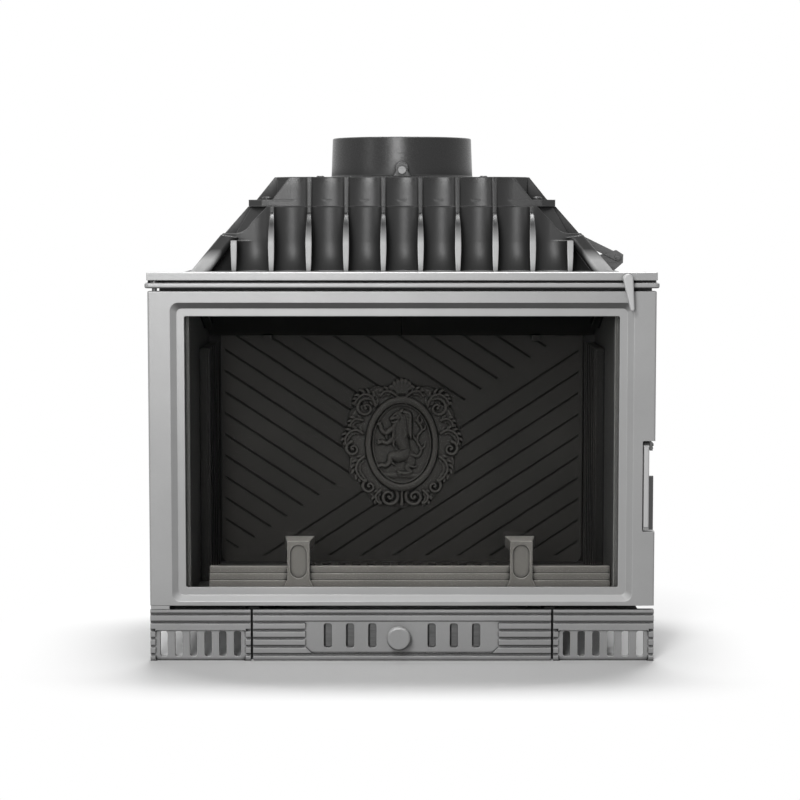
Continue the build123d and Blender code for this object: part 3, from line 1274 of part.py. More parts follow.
with BuildPart() as damper_flap:
    with BuildSketch(Plane.XY.offset(axle_z - flap_thick / 2)):
        Circle(flap_r)
        with GridLocations(2 * 46.0, 0, 2, 1):
            Circle(13.0, mode=Mode.SUBTRACT)
    extrude(amount=flap_thick)
    round_y(0, axle_z, flap_boss_r, (-flap_r + 4, flap_r - 4))
    round_y(0, axle_z, axle_r + run_clear, (-flap_r - 1, flap_r + 1), Mode.SUBTRACT)
damper_flap.part.label = "damper_flap"
export_step(damper_flap.part, "parts/damper_flap.step")
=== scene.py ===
# %% [markdown]
# # A cast-iron fireplace insert
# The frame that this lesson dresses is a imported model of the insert: every casting, lever and pin already has its
# true size and its body. Here the castings get their painted and fired surfaces, the fireback gets its carved
# medallion, the door gets its twisted seal, and a plain studio is put around it. Lengths are in metres.

# %% Load the frame
import json
import math

import bmesh
import bpy
import numpy as np
from mathutils import Matrix, Vector


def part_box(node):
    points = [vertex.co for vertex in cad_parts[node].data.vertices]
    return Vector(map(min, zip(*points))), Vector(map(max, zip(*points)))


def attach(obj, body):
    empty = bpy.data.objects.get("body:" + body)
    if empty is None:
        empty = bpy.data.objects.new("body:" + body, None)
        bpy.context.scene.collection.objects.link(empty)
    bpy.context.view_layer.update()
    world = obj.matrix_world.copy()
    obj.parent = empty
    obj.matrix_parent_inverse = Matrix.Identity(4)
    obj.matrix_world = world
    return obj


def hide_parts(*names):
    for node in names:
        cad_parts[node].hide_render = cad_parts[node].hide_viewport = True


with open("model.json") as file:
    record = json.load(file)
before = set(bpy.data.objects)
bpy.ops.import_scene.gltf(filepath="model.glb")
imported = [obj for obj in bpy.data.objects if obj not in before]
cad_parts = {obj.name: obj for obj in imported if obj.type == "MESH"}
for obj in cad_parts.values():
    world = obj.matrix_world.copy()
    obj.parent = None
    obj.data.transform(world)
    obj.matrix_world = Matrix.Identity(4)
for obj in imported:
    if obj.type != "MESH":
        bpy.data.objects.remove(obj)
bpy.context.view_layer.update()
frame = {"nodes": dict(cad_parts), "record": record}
nodes = frame["nodes"]
MM = 0.001
print("castings and small parts in the frame:", len(nodes))

# %% [markdown]
# ## Camera
# The photograph was taken from straight in front, about three metres from the door, level with the hood and
# tipped down by less than five degrees. A long lens keeps the sides of the insert almost parallel. The lens follows
# from the picture's scale: the 700 mm door spans 508 of 800 pixels.

# %% Place the camera
PICTURE = 800
DOOR_FACE_Y = -205 * MM
CAMERA_DISTANCE = 3.0
CAMERA_HEIGHT = 0.613
CAMERA_TILT = math.radians(4.74)
PIXELS_PER_RADIAN = 2184.0
SENSOR = 36.0

camera_data = bpy.data.cameras.new("view")
camera_data.sensor_width = SENSOR
camera_data.lens = SENSOR * PIXELS_PER_RADIAN / PICTURE
camera = bpy.data.objects.new("view", camera_data)
bpy.context.collection.objects.link(camera)
camera.location = (-2.8 * MM, DOOR_FACE_Y - CAMERA_DISTANCE, CAMERA_HEIGHT)
camera.rotation_euler = (math.pi / 2 - CAMERA_TILT, 0, 0)
bpy.context.scene.camera = camera
print(f"lens {camera_data.lens:.1f} mm, {CAMERA_DISTANCE} m from the door")

# %% [markdown]
# ## Small helpers for shader trees
# A material is a little graph. These helpers add a node, set its plain values and wire it, so that each finish
# below reads as a short list of steps.

# %% Shader helpers
def add_node(tree, kind, values=None, **settings):
    """Adds a node, sets its properties and its unlinked inputs."""
    node = tree.nodes.new(kind)
    for key, value in settings.items():
        setattr(node, key, value)
    for key, value in (values or {}).items():
        node.inputs[key].default_value = value
    return node


def wire(tree, *pairs):
    """Links each (output, input) pair."""
    for start, end in pairs:
        tree.links.new(start, end)


def grey(value, warm=0.0):
    """A linear grey, warmed a little by adding red and taking blue."""
    return (value * (1 + warm), value, value * (1 - warm), 1.0)


def map_range(tree, source, low, high, to_low, to_high):
    """Stretches a value from one range to another."""
    node = add_node(tree, "ShaderNodeMapRange",
                    {"From Min": low, "From Max": high, "To Min": to_low, "To Max": to_high})
    wire(tree, (source, node.inputs["Value"]))
    return node.outputs["Result"]

# %% [markdown]
# ## Cast skin, shared by every casting
# Sand-cast iron has a fine pebbled skin and slow patches of lighter and darker paint. Over these the group paints
# light and shade: edges are paled, partly as wear and partly as a painted highlight, and corners and grooves are
# darkened with painted shade. One shader group makes all of this from Object coordinates. The Bevel node gives the
# soft rounding that a casting's edges have, and the difference between that rounded normal and the true one marks
# the edges. Ambient Occlusion marks the corners for the painted shade: its reach input is how far it looks, in
# millimetres, and its full input is how open a place may still be when the painted shade is at its darkest. One more
# input paints shade on the faces that look down and a highlight on those that look up, as light from above would.

# %% Build the cast skin group
def build_cast_skin():
    tree = bpy.data.node_groups.new("cast skin", "ShaderNodeTree")
    for name, kind, value in (("Paint", "NodeSocketColor", grey(0.3)), ("Rubbed", "NodeSocketColor", grey(0.5)),
                              ("Soot", "NodeSocketColor", grey(0.02)), ("Roughness", "NodeSocketFloat", 0.5),
                              ("Grain Size", "NodeSocketFloat", 1.2), ("Grain Depth", "NodeSocketFloat", 0.25),
                              ("Patches", "NodeSocketFloat", 0.15), ("Edge Width", "NodeSocketFloat", 1.2),
                              ("Edge Wear", "NodeSocketFloat", 0.4), ("Soot Amount", "NodeSocketFloat", 0.5),
                              ("Soot Reach", "NodeSocketFloat", 18.0), ("Soot Full", "NodeSocketFloat", 0.2),
                              ("Settling", "NodeSocketFloat", 0.0)):
        socket = tree.interface.new_socket(name, in_out="INPUT", socket_type=kind)
        socket.default_value = value
    for name, kind in (("Color", "NodeSocketColor"), ("Roughness", "NodeSocketFloat"),
                       ("Normal", "NodeSocketVector")):
        tree.interface.new_socket(name, in_out="OUTPUT", socket_type=kind)
    given = add_node(tree, "NodeGroupInput").outputs
    result = add_node(tree, "NodeGroupOutput").inputs
    place = add_node(tree, "ShaderNodeTexCoord").outputs["Object"]

    grain_scale = add_node(tree, "ShaderNodeMath", {0: 1000.0}, operation="DIVIDE")
    wire(tree, (given["Grain Size"], grain_scale.inputs[1]))
    grain = add_node(tree, "ShaderNodeTexNoise", {"Detail": 3.0, "Roughness": 0.6})
    wire(tree, (place, grain.inputs["Vector"]), (grain_scale.outputs[0], grain.inputs["Scale"]))
    patches = add_node(tree, "ShaderNodeTexNoise", {"Scale": 9.0, "Detail": 4.0, "Roughness": 0.55})
    wire(tree, (place, patches.inputs["Vector"]))

    # rounded edges, and a mask of where they are: the colour is paled there as wear and as a painted highlight
    width = add_node(tree, "ShaderNodeMath", {1: 0.001}, operation="MULTIPLY")
    wire(tree, (given["Edge Width"], width.inputs[0]))
    rounded = add_node(tree, "ShaderNodeBevel", samples=6)
    wire(tree, (width.outputs[0], rounded.inputs["Radius"]))
    flat = add_node(tree, "ShaderNodeNewGeometry").outputs["Normal"]
    facing = add_node(tree, "ShaderNodeVectorMath", operation="DOT_PRODUCT")
    wire(tree, (rounded.outputs[0], facing.inputs[0]), (flat, facing.inputs[1]))
    edge = map_range(tree, facing.outputs["Value"], 0.99, 0.82, 0.0, 1.0)
    wear_and_highlight_mask = add_node(tree, "ShaderNodeMath", operation="MULTIPLY")
    wear_and_highlight_patch = map_range(tree, patches.outputs["Fac"], 0.35, 0.65, 0.35, 1.0)
    wire(tree, (edge, wear_and_highlight_mask.inputs[0]), (wear_and_highlight_patch, wear_and_highlight_mask.inputs[1]))
    wear_and_highlight_amount = add_node(tree, "ShaderNodeMath", operation="MULTIPLY")
    wire(tree, (wear_and_highlight_mask.outputs[0], wear_and_highlight_amount.inputs[0]), (given["Edge Wear"], wear_and_highlight_amount.inputs[1]))

    # painted shade where the surface is shut in
    reach = add_node(tree, "ShaderNodeMath", {1: 0.001}, operation="MULTIPLY")
    shelter = add_node(tree, "ShaderNodeAmbientOcclusion", samples=8)
    wire(tree, (given["Soot Reach"], reach.inputs[0]), (reach.outputs[0], shelter.inputs["Distance"]))
    corner = add_node(tree, "ShaderNodeMapRange", {"From Min": 0.8, "To Min": 0.0, "To Max": 1.0})
    wire(tree, (shelter.outputs["AO"], corner.inputs["Value"]), (given["Soot Full"], corner.inputs["From Max"]))
    soot = add_node(tree, "ShaderNodeMath", operation="MULTIPLY")
    wire(tree, (corner.outputs["Result"], soot.inputs[0]), (given["Soot Amount"], soot.inputs[1]))

    # painted shade on the faces that look down, and a painted highlight on those that look up
    leaning = add_node(tree, "ShaderNodeSeparateXYZ")
    wire(tree, (add_node(tree, "ShaderNodeTexCoord").outputs["Normal"], leaning.inputs[0]))
    under = add_node(tree, "ShaderNodeMath", operation="MULTIPLY")
    over = add_node(tree, "ShaderNodeMath", operation="MULTIPLY")
    wire(tree, (map_range(tree, leaning.outputs["Z"], -0.1, -0.6, 0.0, 0.8), under.inputs[0]),
         (map_range(tree, leaning.outputs["Z"], 0.2, 0.8, 0.0, 0.6), over.inputs[0]),
         (given["Settling"], under.inputs[1]), (given["Settling"], over.inputs[1]))

    # colour: patches, then grain, then the painted shade and highlight by lean, then the paled edges, then the painted
    # shade of the corners
    low = add_node(tree, "ShaderNodeMath", {0: 1.0}, operation="SUBTRACT")
    high = add_node(tree, "ShaderNodeMath", {0: 1.0}, operation="ADD")
    wire(tree, (given["Patches"], low.inputs[1]), (given["Patches"], high.inputs[1]))
    shade = add_node(tree, "ShaderNodeMapRange", {"From Min": 0.3, "From Max": 0.7})
    both = add_node(tree, "ShaderNodeMix", {"Factor": 0.35}, data_type="FLOAT")
    wire(tree, (patches.outputs["Fac"], both.inputs["A"]), (grain.outputs["Fac"], both.inputs["B"]),
         (both.outputs["Result"], shade.inputs["Value"]), (low.outputs[0], shade.inputs["To Min"]),
         (high.outputs[0], shade.inputs["To Max"]))
    paint = add_node(tree, "ShaderNodeVectorMath", operation="SCALE")
    wire(tree, (given["Paint"], paint.inputs[0]), (shade.outputs["Result"], paint.inputs["Scale"]))
    shaded = add_node(tree, "ShaderNodeMix", data_type="RGBA")
    painted_top_highlight = add_node(tree, "ShaderNodeMix", data_type="RGBA")
    wear_and_highlight_mix = add_node(tree, "ShaderNodeMix", data_type="RGBA")
    wire(tree, (under.outputs[0], shaded.inputs["Factor"]), (paint.outputs["Vector"], shaded.inputs["A"]),
         (given["Soot"], shaded.inputs["B"]), (over.outputs[0], painted_top_highlight.inputs["Factor"]),
         (shaded.outputs["Result"], painted_top_highlight.inputs["A"]), (given["Rubbed"], painted_top_highlight.inputs["B"]),
         (wear_and_highlight_amount.outputs[0], wear_and_highlight_mix.inputs["Factor"]), (painted_top_highlight.outputs["Result"], wear_and_highlight_mix.inputs["A"]),
         (given["Rubbed"], wear_and_highlight_mix.inputs["B"]))
    hollow_shaded = add_node(tree, "ShaderNodeMix", data_type="RGBA")
    wire(tree, (soot.outputs[0], hollow_shaded.inputs["Factor"]), (wear_and_highlight_mix.outputs["Result"], hollow_shaded.inputs["A"]),
         (given["Soot"], hollow_shaded.inputs["B"]), (hollow_shaded.outputs["Result"], result["Color"]))

    # roughness: uneven with the grain, and matt where the corners' painted shade lies
    uneven = map_range(tree, grain.outputs["Fac"], 0.3, 0.7, -0.06, 0.06)
    rough = add_node(tree, "ShaderNodeMath", operation="ADD")
    wire(tree, (given["Roughness"], rough.inputs[0]), (uneven, rough.inputs[1]))
    dusty = add_node(tree, "ShaderNodeMix", {"B": 0.9}, data_type="FLOAT")
    wire(tree, (soot.outputs[0], dusty.inputs["Factor"]), (rough.outputs[0], dusty.inputs["A"]),
         (dusty.outputs["Result"], result["Roughness"]))

    bump = add_node(tree, "ShaderNodeBump", {"Distance": 0.0006})
    wire(tree, (given["Grain Depth"], bump.inputs["Strength"]), (grain.outputs["Fac"], bump.inputs["Height"]),
         (rounded.outputs[0], bump.inputs["Normal"]), (bump.outputs["Normal"], result["Normal"]))
    return tree


cast_skin = build_cast_skin()
print("cast skin:", len(cast_skin.nodes), "nodes")

# %% [markdown]
# ## Finishes of the castings
# All castings share the skin and differ in paint. The door, the plinth and the frame are a satin light grey with a
# slight metallic sheen. The hood and collar are darker graphite. The body that is walled in is plain dark paint.
# Inside the firebox the iron is almost black with a weak sheen, and the loose log guard is a warmer, scuffed grey.
# The plinth's plates and the knob have a paint of their own. Where one casting changes along its length, vary()
# blends one input of the skin between two values over a span of X, Y or Z.

# %% Make the casting materials
def cast_material(name, metallic=0.0, sheen_level=0.5, **skin):
    """A painted casting: the shared skin feeds colour, roughness and normal."""
    material = bpy.data.materials.new(name)
    material.use_nodes = True
    tree = material.node_tree
    shader = tree.nodes["Principled BSDF"]
    shader.inputs["Metallic"].default_value = metallic
    shader.inputs["Specular IOR Level"].default_value = sheen_level
    surface = add_node(tree, "ShaderNodeGroup", node_tree=cast_skin)
    for key, value in skin.items():
        surface.inputs[key.replace("_", " ").title()].default_value = value
    wire(tree, (surface.outputs["Color"], shader.inputs["Base Color"]),
         (surface.outputs["Roughness"], shader.inputs["Roughness"]),
         (surface.outputs["Normal"], shader.inputs["Normal"]))
    return material


# each finish also sets the colour, reach and strength of the painted shade in its corners, the painted shade and
# highlight by lean, and how far its edges are paled
finish = {
    "front_paint": cast_material("satin front paint", metallic=0.15, sheen_level=0.4, paint=grey(0.34),
                                 rubbed=grey(0.80), soot=grey(0.01), roughness=0.34, grain_size=1.1,
                                 grain_depth=0.22, patches=0.07, edge_width=1.3, edge_wear=0.75,
                                 soot_amount=0.97, soot_reach=12.0, settling=0.9),
    "plinth_paint": cast_material("rubbed plinth paint", metallic=0.15, sheen_level=0.4, paint=grey(0.28),
                                  rubbed=grey(0.80), soot=grey(0.002), roughness=0.36, grain_size=1.1,
                                  grain_depth=0.3, patches=0.10, edge_width=0.8, edge_wear=0.9,
                                  soot_amount=1.0, soot_reach=9.0, soot_full=0.5, settling=1.0),
    "hood_iron": cast_material("graphite hood paint", sheen_level=0.32, paint=grey(0.042), rubbed=grey(0.85),
                               soot=grey(0.004), roughness=0.36, grain_size=1.4, grain_depth=0.25,
                               patches=0.16, edge_width=2.4, edge_wear=1.0, soot_amount=0.9, soot_reach=30.0),
    "body_iron": cast_material("dark body paint", sheen_level=0.35, paint=grey(0.05), rubbed=grey(0.14),
                               soot=grey(0.008), roughness=0.6, grain_size=1.8, grain_depth=0.5, patches=0.2,
                               edge_width=2.0, edge_wear=0.4, soot_amount=0.6),
    "firebox_iron": cast_material("fired black iron", sheen_level=0.13, paint=grey(0.022, 0.05),
                                  rubbed=grey(0.10, 0.04), soot=grey(0.001), roughness=0.46, grain_size=1.8,
                                  grain_depth=0.4, patches=0.25, edge_width=1.0, edge_wear=1.0,
                                  soot_amount=1.0, soot_reach=6.0, soot_full=0.6, settling=0.6),
    "guard_iron": cast_material("scuffed guard iron", metallic=0.15, paint=grey(0.11, 0.05),
                                rubbed=grey(0.65, 0.04), soot=grey(0.003), roughness=0.38, grain_size=1.2,
                                grain_depth=0.5, patches=0.2, edge_width=1.0, edge_wear=1.0,
                                soot_amount=1.0, soot_reach=8.0, soot_full=0.45, settling=1.0),
    "lever_steel": cast_material("pale lever paint", metallic=0.1, paint=grey(0.50), rubbed=grey(0.8),
                                 soot=grey(0.03), roughness=0.38, grain_size=0.8, grain_depth=0.15,
                                 patches=0.06, edge_width=1.0, edge_wear=0.4, soot_amount=0.6),
}


def vary(material, socket, plain, changed, *spans):
    """Change one input of the skin where every span (axis, where it starts, where it is full) holds."""
    tree = material.node_tree
    surface = next(node for node in tree.nodes if node.type == "GROUP")
    place = add_node(tree, "ShaderNodeSeparateXYZ")
    wire(tree, (add_node(tree, "ShaderNodeTexCoord").outputs["Object"], place.inputs[0]))
    share = None
    for axis, start, full in spans:
        part = map_range(tree, place.outputs[axis], start, full, 0.0, 1.0)
        if share is not None:
            both = add_node(tree, "ShaderNodeMath", operation="MULTIPLY")
            wire(tree, (share, both.inputs[0]), (part, both.inputs[1]))
            part = both.outputs[0]
        share = part
    colour = isinstance(plain, tuple)
    blend = add_node(tree, "ShaderNodeMix", {"A": plain, "B": changed}, data_type="RGBA" if colour else "FLOAT")
    wire(tree, (share, blend.inputs["Factor"]), (blend.outputs["Result"], surface.inputs[socket]))


# painted highlight: the rib tips are painted bright below their shoulder, where the lamps' reflection falls
vary(finish["hood_iron"], "Paint", grey(0.022), grey(0.42), ("Y", -0.1475, -0.1545), ("Z", 0.606, 0.580))
# painted highlight: the paled edges of the hood grow to full strength towards its foot
vary(finish["hood_iron"], "Edge Wear", 0.2, 1.0, ("Z", 0.605, 0.570))
vary(finish["hood_iron"], "Roughness", 0.36, 0.26, ("Z", 0.655, 0.670))
# painted shade: the grip and lever keep their pale paint only on their front faces and are painted dark behind them
vary(finish["lever_steel"], "Paint", grey(0.5), grey(0.04), ("Y", -0.2022, -0.2005))
# painted shade: in the firebox everything in front of the fireback is painted near black, as little light reaches it
vary(finish["firebox_iron"], "Paint", grey(0.022, 0.05), grey(0.004, 0.05), ("Y", 0.122, 0.117))
print("castings have", len(finish), "finishes")

# %% [markdown]
# ## Steel, glass and glass-fibre
# The linkage is blackened steel with faint drawn lines. The clips are zinc plated. The pane is clear ceramic glass:
# for shadow rays it is made see-through, so that the studio light reaches the fireback as it does through a real
# pane. The seal is a dark woven fibre.

# %% Make the steel, glass and rope materials
def drawn_steel(name, tone, rough, stretch=(40.0, 600.0, 600.0)):
    """Steel with fine lines along one axis, made by stretching a noise."""
    material = bpy.data.materials.new(name)
    material.use_nodes = True
    tree = material.node_tree
    shader = tree.nodes["Principled BSDF"]
    shader.inputs["Metallic"].default_value = 0.9
    place = add_node(tree, "ShaderNodeTexCoord").outputs["Object"]
    stretched = add_node(tree, "ShaderNodeMapping", {"Scale": stretch})
    lines = add_node(tree, "ShaderNodeTexNoise", {"Scale": 1.0, "Detail": 4.0})
    wire(tree, (place, stretched.inputs["Vector"]), (stretched.outputs[0], lines.inputs["Vector"]))
    tint = add_node(tree, "ShaderNodeMix", {"A": grey(tone * 0.6), "B": grey(tone * 1.4)}, data_type="RGBA")
    wire(tree, (lines.outputs["Fac"], tint.inputs["Factor"]),
         (tint.outputs["Result"], shader.inputs["Base Color"]),
         (map_range(tree, lines.outputs["Fac"], 0.3, 0.7, rough - 0.1, rough + 0.12), shader.inputs["Roughness"]))
    rounded = add_node(tree, "ShaderNodeBevel", {"Radius": 0.0006}, samples=4)
    bump = add_node(tree, "ShaderNodeBump", {"Strength": 0.15, "Distance": 0.0003})
    wire(tree, (lines.outputs["Fac"], bump.inputs["Height"]), (rounded.outputs[0], bump.inputs["Normal"]),
         (bump.outputs["Normal"], shader.inputs["Normal"]))
    return material


def pane_glass(name):
    """Clear ceramic glass with a faint amber cast and a light, patchy film of ash."""
    material = bpy.data.materials.new(name)
    material.use_nodes = True
    tree = material.node_tree
    shader = tree.nodes["Principled BSDF"]
    shader.inputs["Transmission Weight"].default_value = 1.0
    shader.inputs["IOR"].default_value = 1.5
    place = add_node(tree, "ShaderNodeTexCoord").outputs["Object"]
    film = add_node(tree, "ShaderNodeTexNoise", {"Scale": 14.0, "Detail": 3.0})
    tint = add_node(tree, "ShaderNodeMix", {"A": (0.93, 0.925, 0.91, 1), "B": (0.97, 0.97, 0.965, 1)},
                    data_type="RGBA")
    wire(tree, (place, film.inputs["Vector"]), (film.outputs["Fac"], tint.inputs["Factor"]),
         (tint.outputs["Result"], shader.inputs["Base Color"]),
         (map_range(tree, film.outputs["Fac"], 0.3, 0.7, 0.0, 0.03), shader.inputs["Roughness"]))
    see_through = add_node(tree, "ShaderNodeBsdfTransparent", {"Color": (0.94, 0.94, 0.93, 1)})
    blend = add_node(tree, "ShaderNodeMixShader")
    path = add_node(tree, "ShaderNodeLightPath")
    slant = add_node(tree, "ShaderNodeLayerWeight", {"Blend": 0.5})
    clear = add_node(tree, "ShaderNodeMath", operation="MAXIMUM")
    output = tree.nodes["Material Output"]
    wire(tree, (map_range(tree, slant.outputs["Facing"], 0.1, 0.75, 0.97, 0.0), clear.inputs[0]),
         (path.outputs["Is Shadow Ray"], clear.inputs[1]), (clear.outputs[0], blend.inputs[0]),
         (shader.outputs[0], blend.inputs[1]), (see_through.outputs[0], blend.inputs[2]),
         (blend.outputs[0], output.inputs["Surface"]))
    return material


def woven_fibre(name):
    """Dark glass-fibre yarn: one diagonal wave, broken by a fine noise, for the weave, and a matt, slightly fuzzy
    surface.
    """
    material = bpy.data.materials.new(name)
    material.use_nodes = True
    tree = material.node_tree
    shader = tree.nodes["Principled BSDF"]
    shader.inputs["Sheen Weight"].default_value = 0.3
    place = add_node(tree, "ShaderNodeTexCoord").outputs["Object"]
    across = add_node(tree, "ShaderNodeTexWave", {"Scale": 160.0, "Distortion": 1.5}, bands_direction="DIAGONAL")
    fuzz = add_node(tree, "ShaderNodeTexNoise", {"Scale": 900.0, "Detail": 3.0})
    mixed = add_node(tree, "ShaderNodeMath", operation="MULTIPLY")
    wire(tree, (place, across.inputs["Vector"]), (place, fuzz.inputs["Vector"]),
         (across.outputs["Fac"], mixed.inputs[0]), (fuzz.outputs["Fac"], mixed.inputs[1]))
    tint = add_node(tree, "ShaderNodeMix", {"A": grey(0.02), "B": grey(0.12)}, data_type="RGBA")
    bump = add_node(tree, "ShaderNodeBump", {"Strength": 0.6, "Distance": 0.0008})
    wire(tree, (mixed.outputs[0], tint.inputs["Factor"]), (tint.outputs["Result"], shader.inputs["Base Color"]),
         (mixed.outputs[0], bump.inputs["Height"]), (bump.outputs["Normal"], shader.inputs["Normal"]),
         (map_range(tree, fuzz.outputs["Fac"], 0.3, 0.7, 0.8, 1.0), shader.inputs["Roughness"]))
    return material


finish["dark_steel"] = drawn_steel("blackened steel", 0.10, 0.38)
finish["zinc_steel"] = drawn_steel("zinc plate", 0.45, 0.35)
finish["pan_steel"] = drawn_steel("black sheet", 0.12, 0.5)
finish["stove_glass"] = pane_glass("ceramic pane")
finish["seal_rope"] = woven_fibre("glass-fibre yarn")

# %% [markdown]
# ## Dress the frame
# The record names a material slot for each node, so one loop can dress all of them. A node keeps its mesh and its
# place, and only its material slots change.

# %% Put a finish on every node
slot_of = {part["node"]: part["material_slot"] for part in frame["record"]["subparts"]}
for name, piece in nodes.items():
    piece.data.materials.clear()
    piece.data.materials.append(finish[slot_of[name]])
print("finishes in use:", len(set(slot_of.values())))

# %% [markdown]
# ## The medallion as a height field
# The carved shield on the fireback is a low relief: every point of it has one height over the plate. Such a shape can
# be modelled by pushing a grid outwards. A carver works with strokes, so the grid is pushed by strokes too: each is a
# curve with a thickness that swells and tapers. Where strokes meet, the higher one wins. Grooves are cut last.

# %% Strokes on a grid
RELIEF_STEP = 0.8
SHIELD_X, SHIELD_Z = 97.0, 106.0
MEDALLION_Z = 269.0
FIREBACK_Y = 135.0
grid_x = np.arange(-SHIELD_X, SHIELD_X + RELIEF_STEP, RELIEF_STEP)
grid_z = np.arange(-SHIELD_Z, SHIELD_Z + RELIEF_STEP, RELIEF_STEP)
X, Z = np.meshgrid(grid_x, grid_z, indexing="ij")


def spline(points, steps=10):
    """A Catmull-Rom curve through (x, z, radius) points."""
    p = np.array([points[0], *points, points[-1]], float)
    out = []
    for a, b, c, d in zip(p, p[1:], p[2:], p[3:]):
        for t in np.linspace(0, 1, steps, endpoint=False):
            out.append(0.5 * (2 * b + (c - a) * t + (2 * a - 5 * b + 4 * c - d) * t * t
                              + (3 * b - a - 3 * c + d) * t ** 3))
    out.append(p[-1])
    return np.array(out)


def swell(path):
    """For each grid point: how deep it lies inside the stroke, 1 on its line and 0 at its rim."""
    best = np.full(X.shape, -1.0)
    for (ax, az, ar), (bx, bz, br) in zip(path, path[1:]):
        reach = max(ar, br) + 1.5
        i0, i1 = np.searchsorted(grid_x, (min(ax, bx) - reach, max(ax, bx) + reach))
        j0, j1 = np.searchsorted(grid_z, (min(az, bz) - reach, max(az, bz) + reach))
        gx, gz = X[i0:i1, j0:j1] - ax, Z[i0:i1, j0:j1] - az
        dx, dz = bx - ax, bz - az
        t = np.clip((gx * dx + gz * dz) / max(dx * dx + dz * dz, 1e-9), 0, 1)
        radius = np.maximum(ar + (br - ar) * t, 0.2)
        depth = 1 - np.hypot(gx - dx * t, gz - dz * t) / radius
        best[i0:i1, j0:j1] = np.maximum(best[i0:i1, j0:j1], depth)
    return best


height = np.full(X.shape, -4.0)


def raise_stroke(points, base, lift, sides=(1,)):
    """Raises a rounded ridge; sides (1, -1) also makes its mirror image."""
    for side in sides:
        inside = swell(spline([(side * x, z, r) for x, z, r in points]))
        ridge = base + lift * np.sqrt(np.clip(1 - (1 - np.clip(inside, 0, 1)) ** 2, 0, 1))
        height[:] = np.where(inside > 0, np.maximum(height, ridge), height)


def cut_stroke(points, depth, sides=(1,)):
    """Cuts a rounded groove."""
    for side in sides:
        inside = np.clip(swell(spline([(side * x, z, r) for x, z, r in points])), 0, 1)
        height[:] = np.where(height > 0, height - depth * inside ** 0.7, height)

# %% [markdown]
# ## Scrolls and acanthus leaves
# The frame around the oval is built from two traditional motifs. A volute is a spiral that tapers inwards. An
# acanthus leaf has a curved rib and lobes that fan out from it, longer in its middle. Each is drawn once on the right
# and mirrored, as a pattern maker would.

# %% Draw the leafy frame
BOTH = (1, -1)


def volute(cx, cz, radius, turns, start, way=1, width=3.2, lift=3.6):
    """A spiral ridge from its outer end to its eye."""
    points = []
    for k in range(int(turns * 10) + 1):
        share = k / (turns * 10)
        angle = start + way * turns * 2 * math.pi * share
        r = radius * (1 - 0.82 * share)
        points.append((cx + r * math.cos(angle), cz + r * math.sin(angle), width * (1 - 0.5 * share)))
    raise_stroke(points, 3.2, lift, BOTH)
    raise_stroke([(cx, cz, width * 0.9), (cx + 0.3, cz, width * 0.9)], 3.2, lift + 0.6, BOTH)


def acanthus(points, lobes=6, spread=9.0, lift=3.2, lean=0.9):
    """A rib with lobes on both sides, and a groove down each lobe."""
    rib = spline(points, 8)
    cuts = []
    for k in range(lobes):
        share = (k + 0.6) / lobes
        at = rib[int(share * (len(rib) - 2))]
        ahead = rib[int(share * (len(rib) - 2)) + 1] - at
        along = ahead[:2] / max(np.hypot(*ahead[:2]), 1e-6)
        reach = spread * math.sin(math.pi * (0.25 + 0.65 * share))
        for hand in (1, -1):
            out = np.array([-along[1] * hand, along[0] * hand])
            mid = at[:2] + reach * (0.55 * out + 0.35 * lean * along)
            tip = at[:2] + reach * (0.85 * out + 0.95 * lean * along)
            raise_stroke([(*at[:2], 2.2), (*mid, 2.7), (*tip, 1.5)], 2.9, lift, BOTH)
            cuts.append([(*(at[:2] + 0.2 * reach * out), 0.7), (*mid, 0.8), (*tip, 0.5)])
    for cut in cuts:
        cut_stroke(cut, 1.1, BOTH)
    raise_stroke([(x, z, r) for x, z, r in points], 3.4, lift + 0.9, BOTH)


def lobed_outline():
    """The shield behind the leaves: an oval with a scalloped edge, 0.5 mm prouder than the casting below."""
    bearing = np.arctan2(X, Z)
    reach = 1.0 + 0.075 * np.abs(np.cos(6 * bearing)) ** 0.6
    inside = 1 - np.hypot(X / (80.5 * reach), Z / (88.5 * reach))
    height[:] = np.where(inside > 0, 3.4 + 1.2 * np.clip(inside * 3, 0, 1), height)


lobed_outline()
# crown: a shell of seven flutes over a short stem
for flute in range(-3, 4):
    turn = math.radians(21 * flute)
    foot = (3 * math.sin(turn), 77 + 1.5 * math.cos(turn), 1.4)
    tip = (17 * math.sin(turn), 80 + 17.5 * math.cos(turn), 3.6)
    raise_stroke([foot, tip], 3.0, 3.6)
    cut_stroke([foot, (tip[0], tip[1], 0.6)], 1.0)
acanthus([(6, 72, 2.4), (17, 80, 2.2), (27, 80, 2.0), (33, 73, 1.4)], 5, 7.5)
# shoulder: a volute with a leaf that rolls over it
volute(55, 55, 17, 1.35, math.radians(160), -1)
acanthus([(40, 58, 2.4), (46, 72, 2.3), (58, 76, 2.1), (68, 69, 1.7), (73, 60, 1.2)], 7, 8.5)
acanthus([(60, 36, 2.2), (70, 38, 2.0), (77, 33, 1.6), (79, 26, 1.1)], 4, 6.5)
# waist: a leaf that turns out and down, and a small volute below
acanthus([(60, 16, 2.4), (70, 21, 2.3), (81, 17, 2.0), (87, 7, 1.7), (85, -2, 1.2)], 6, 7.5)
volute(75, -8, 11.5, 1.3, math.radians(80), -1, 2.7)
# hip: a long leaf that follows the oval down
acanthus([(58, -20, 2.4), (67, -28, 2.4), (70, -40, 2.2), (64, -52, 1.9), (56, -58, 1.4)], 7, 8.5)
volute(50, -66, 11, 1.2, math.radians(60), -1, 2.6)
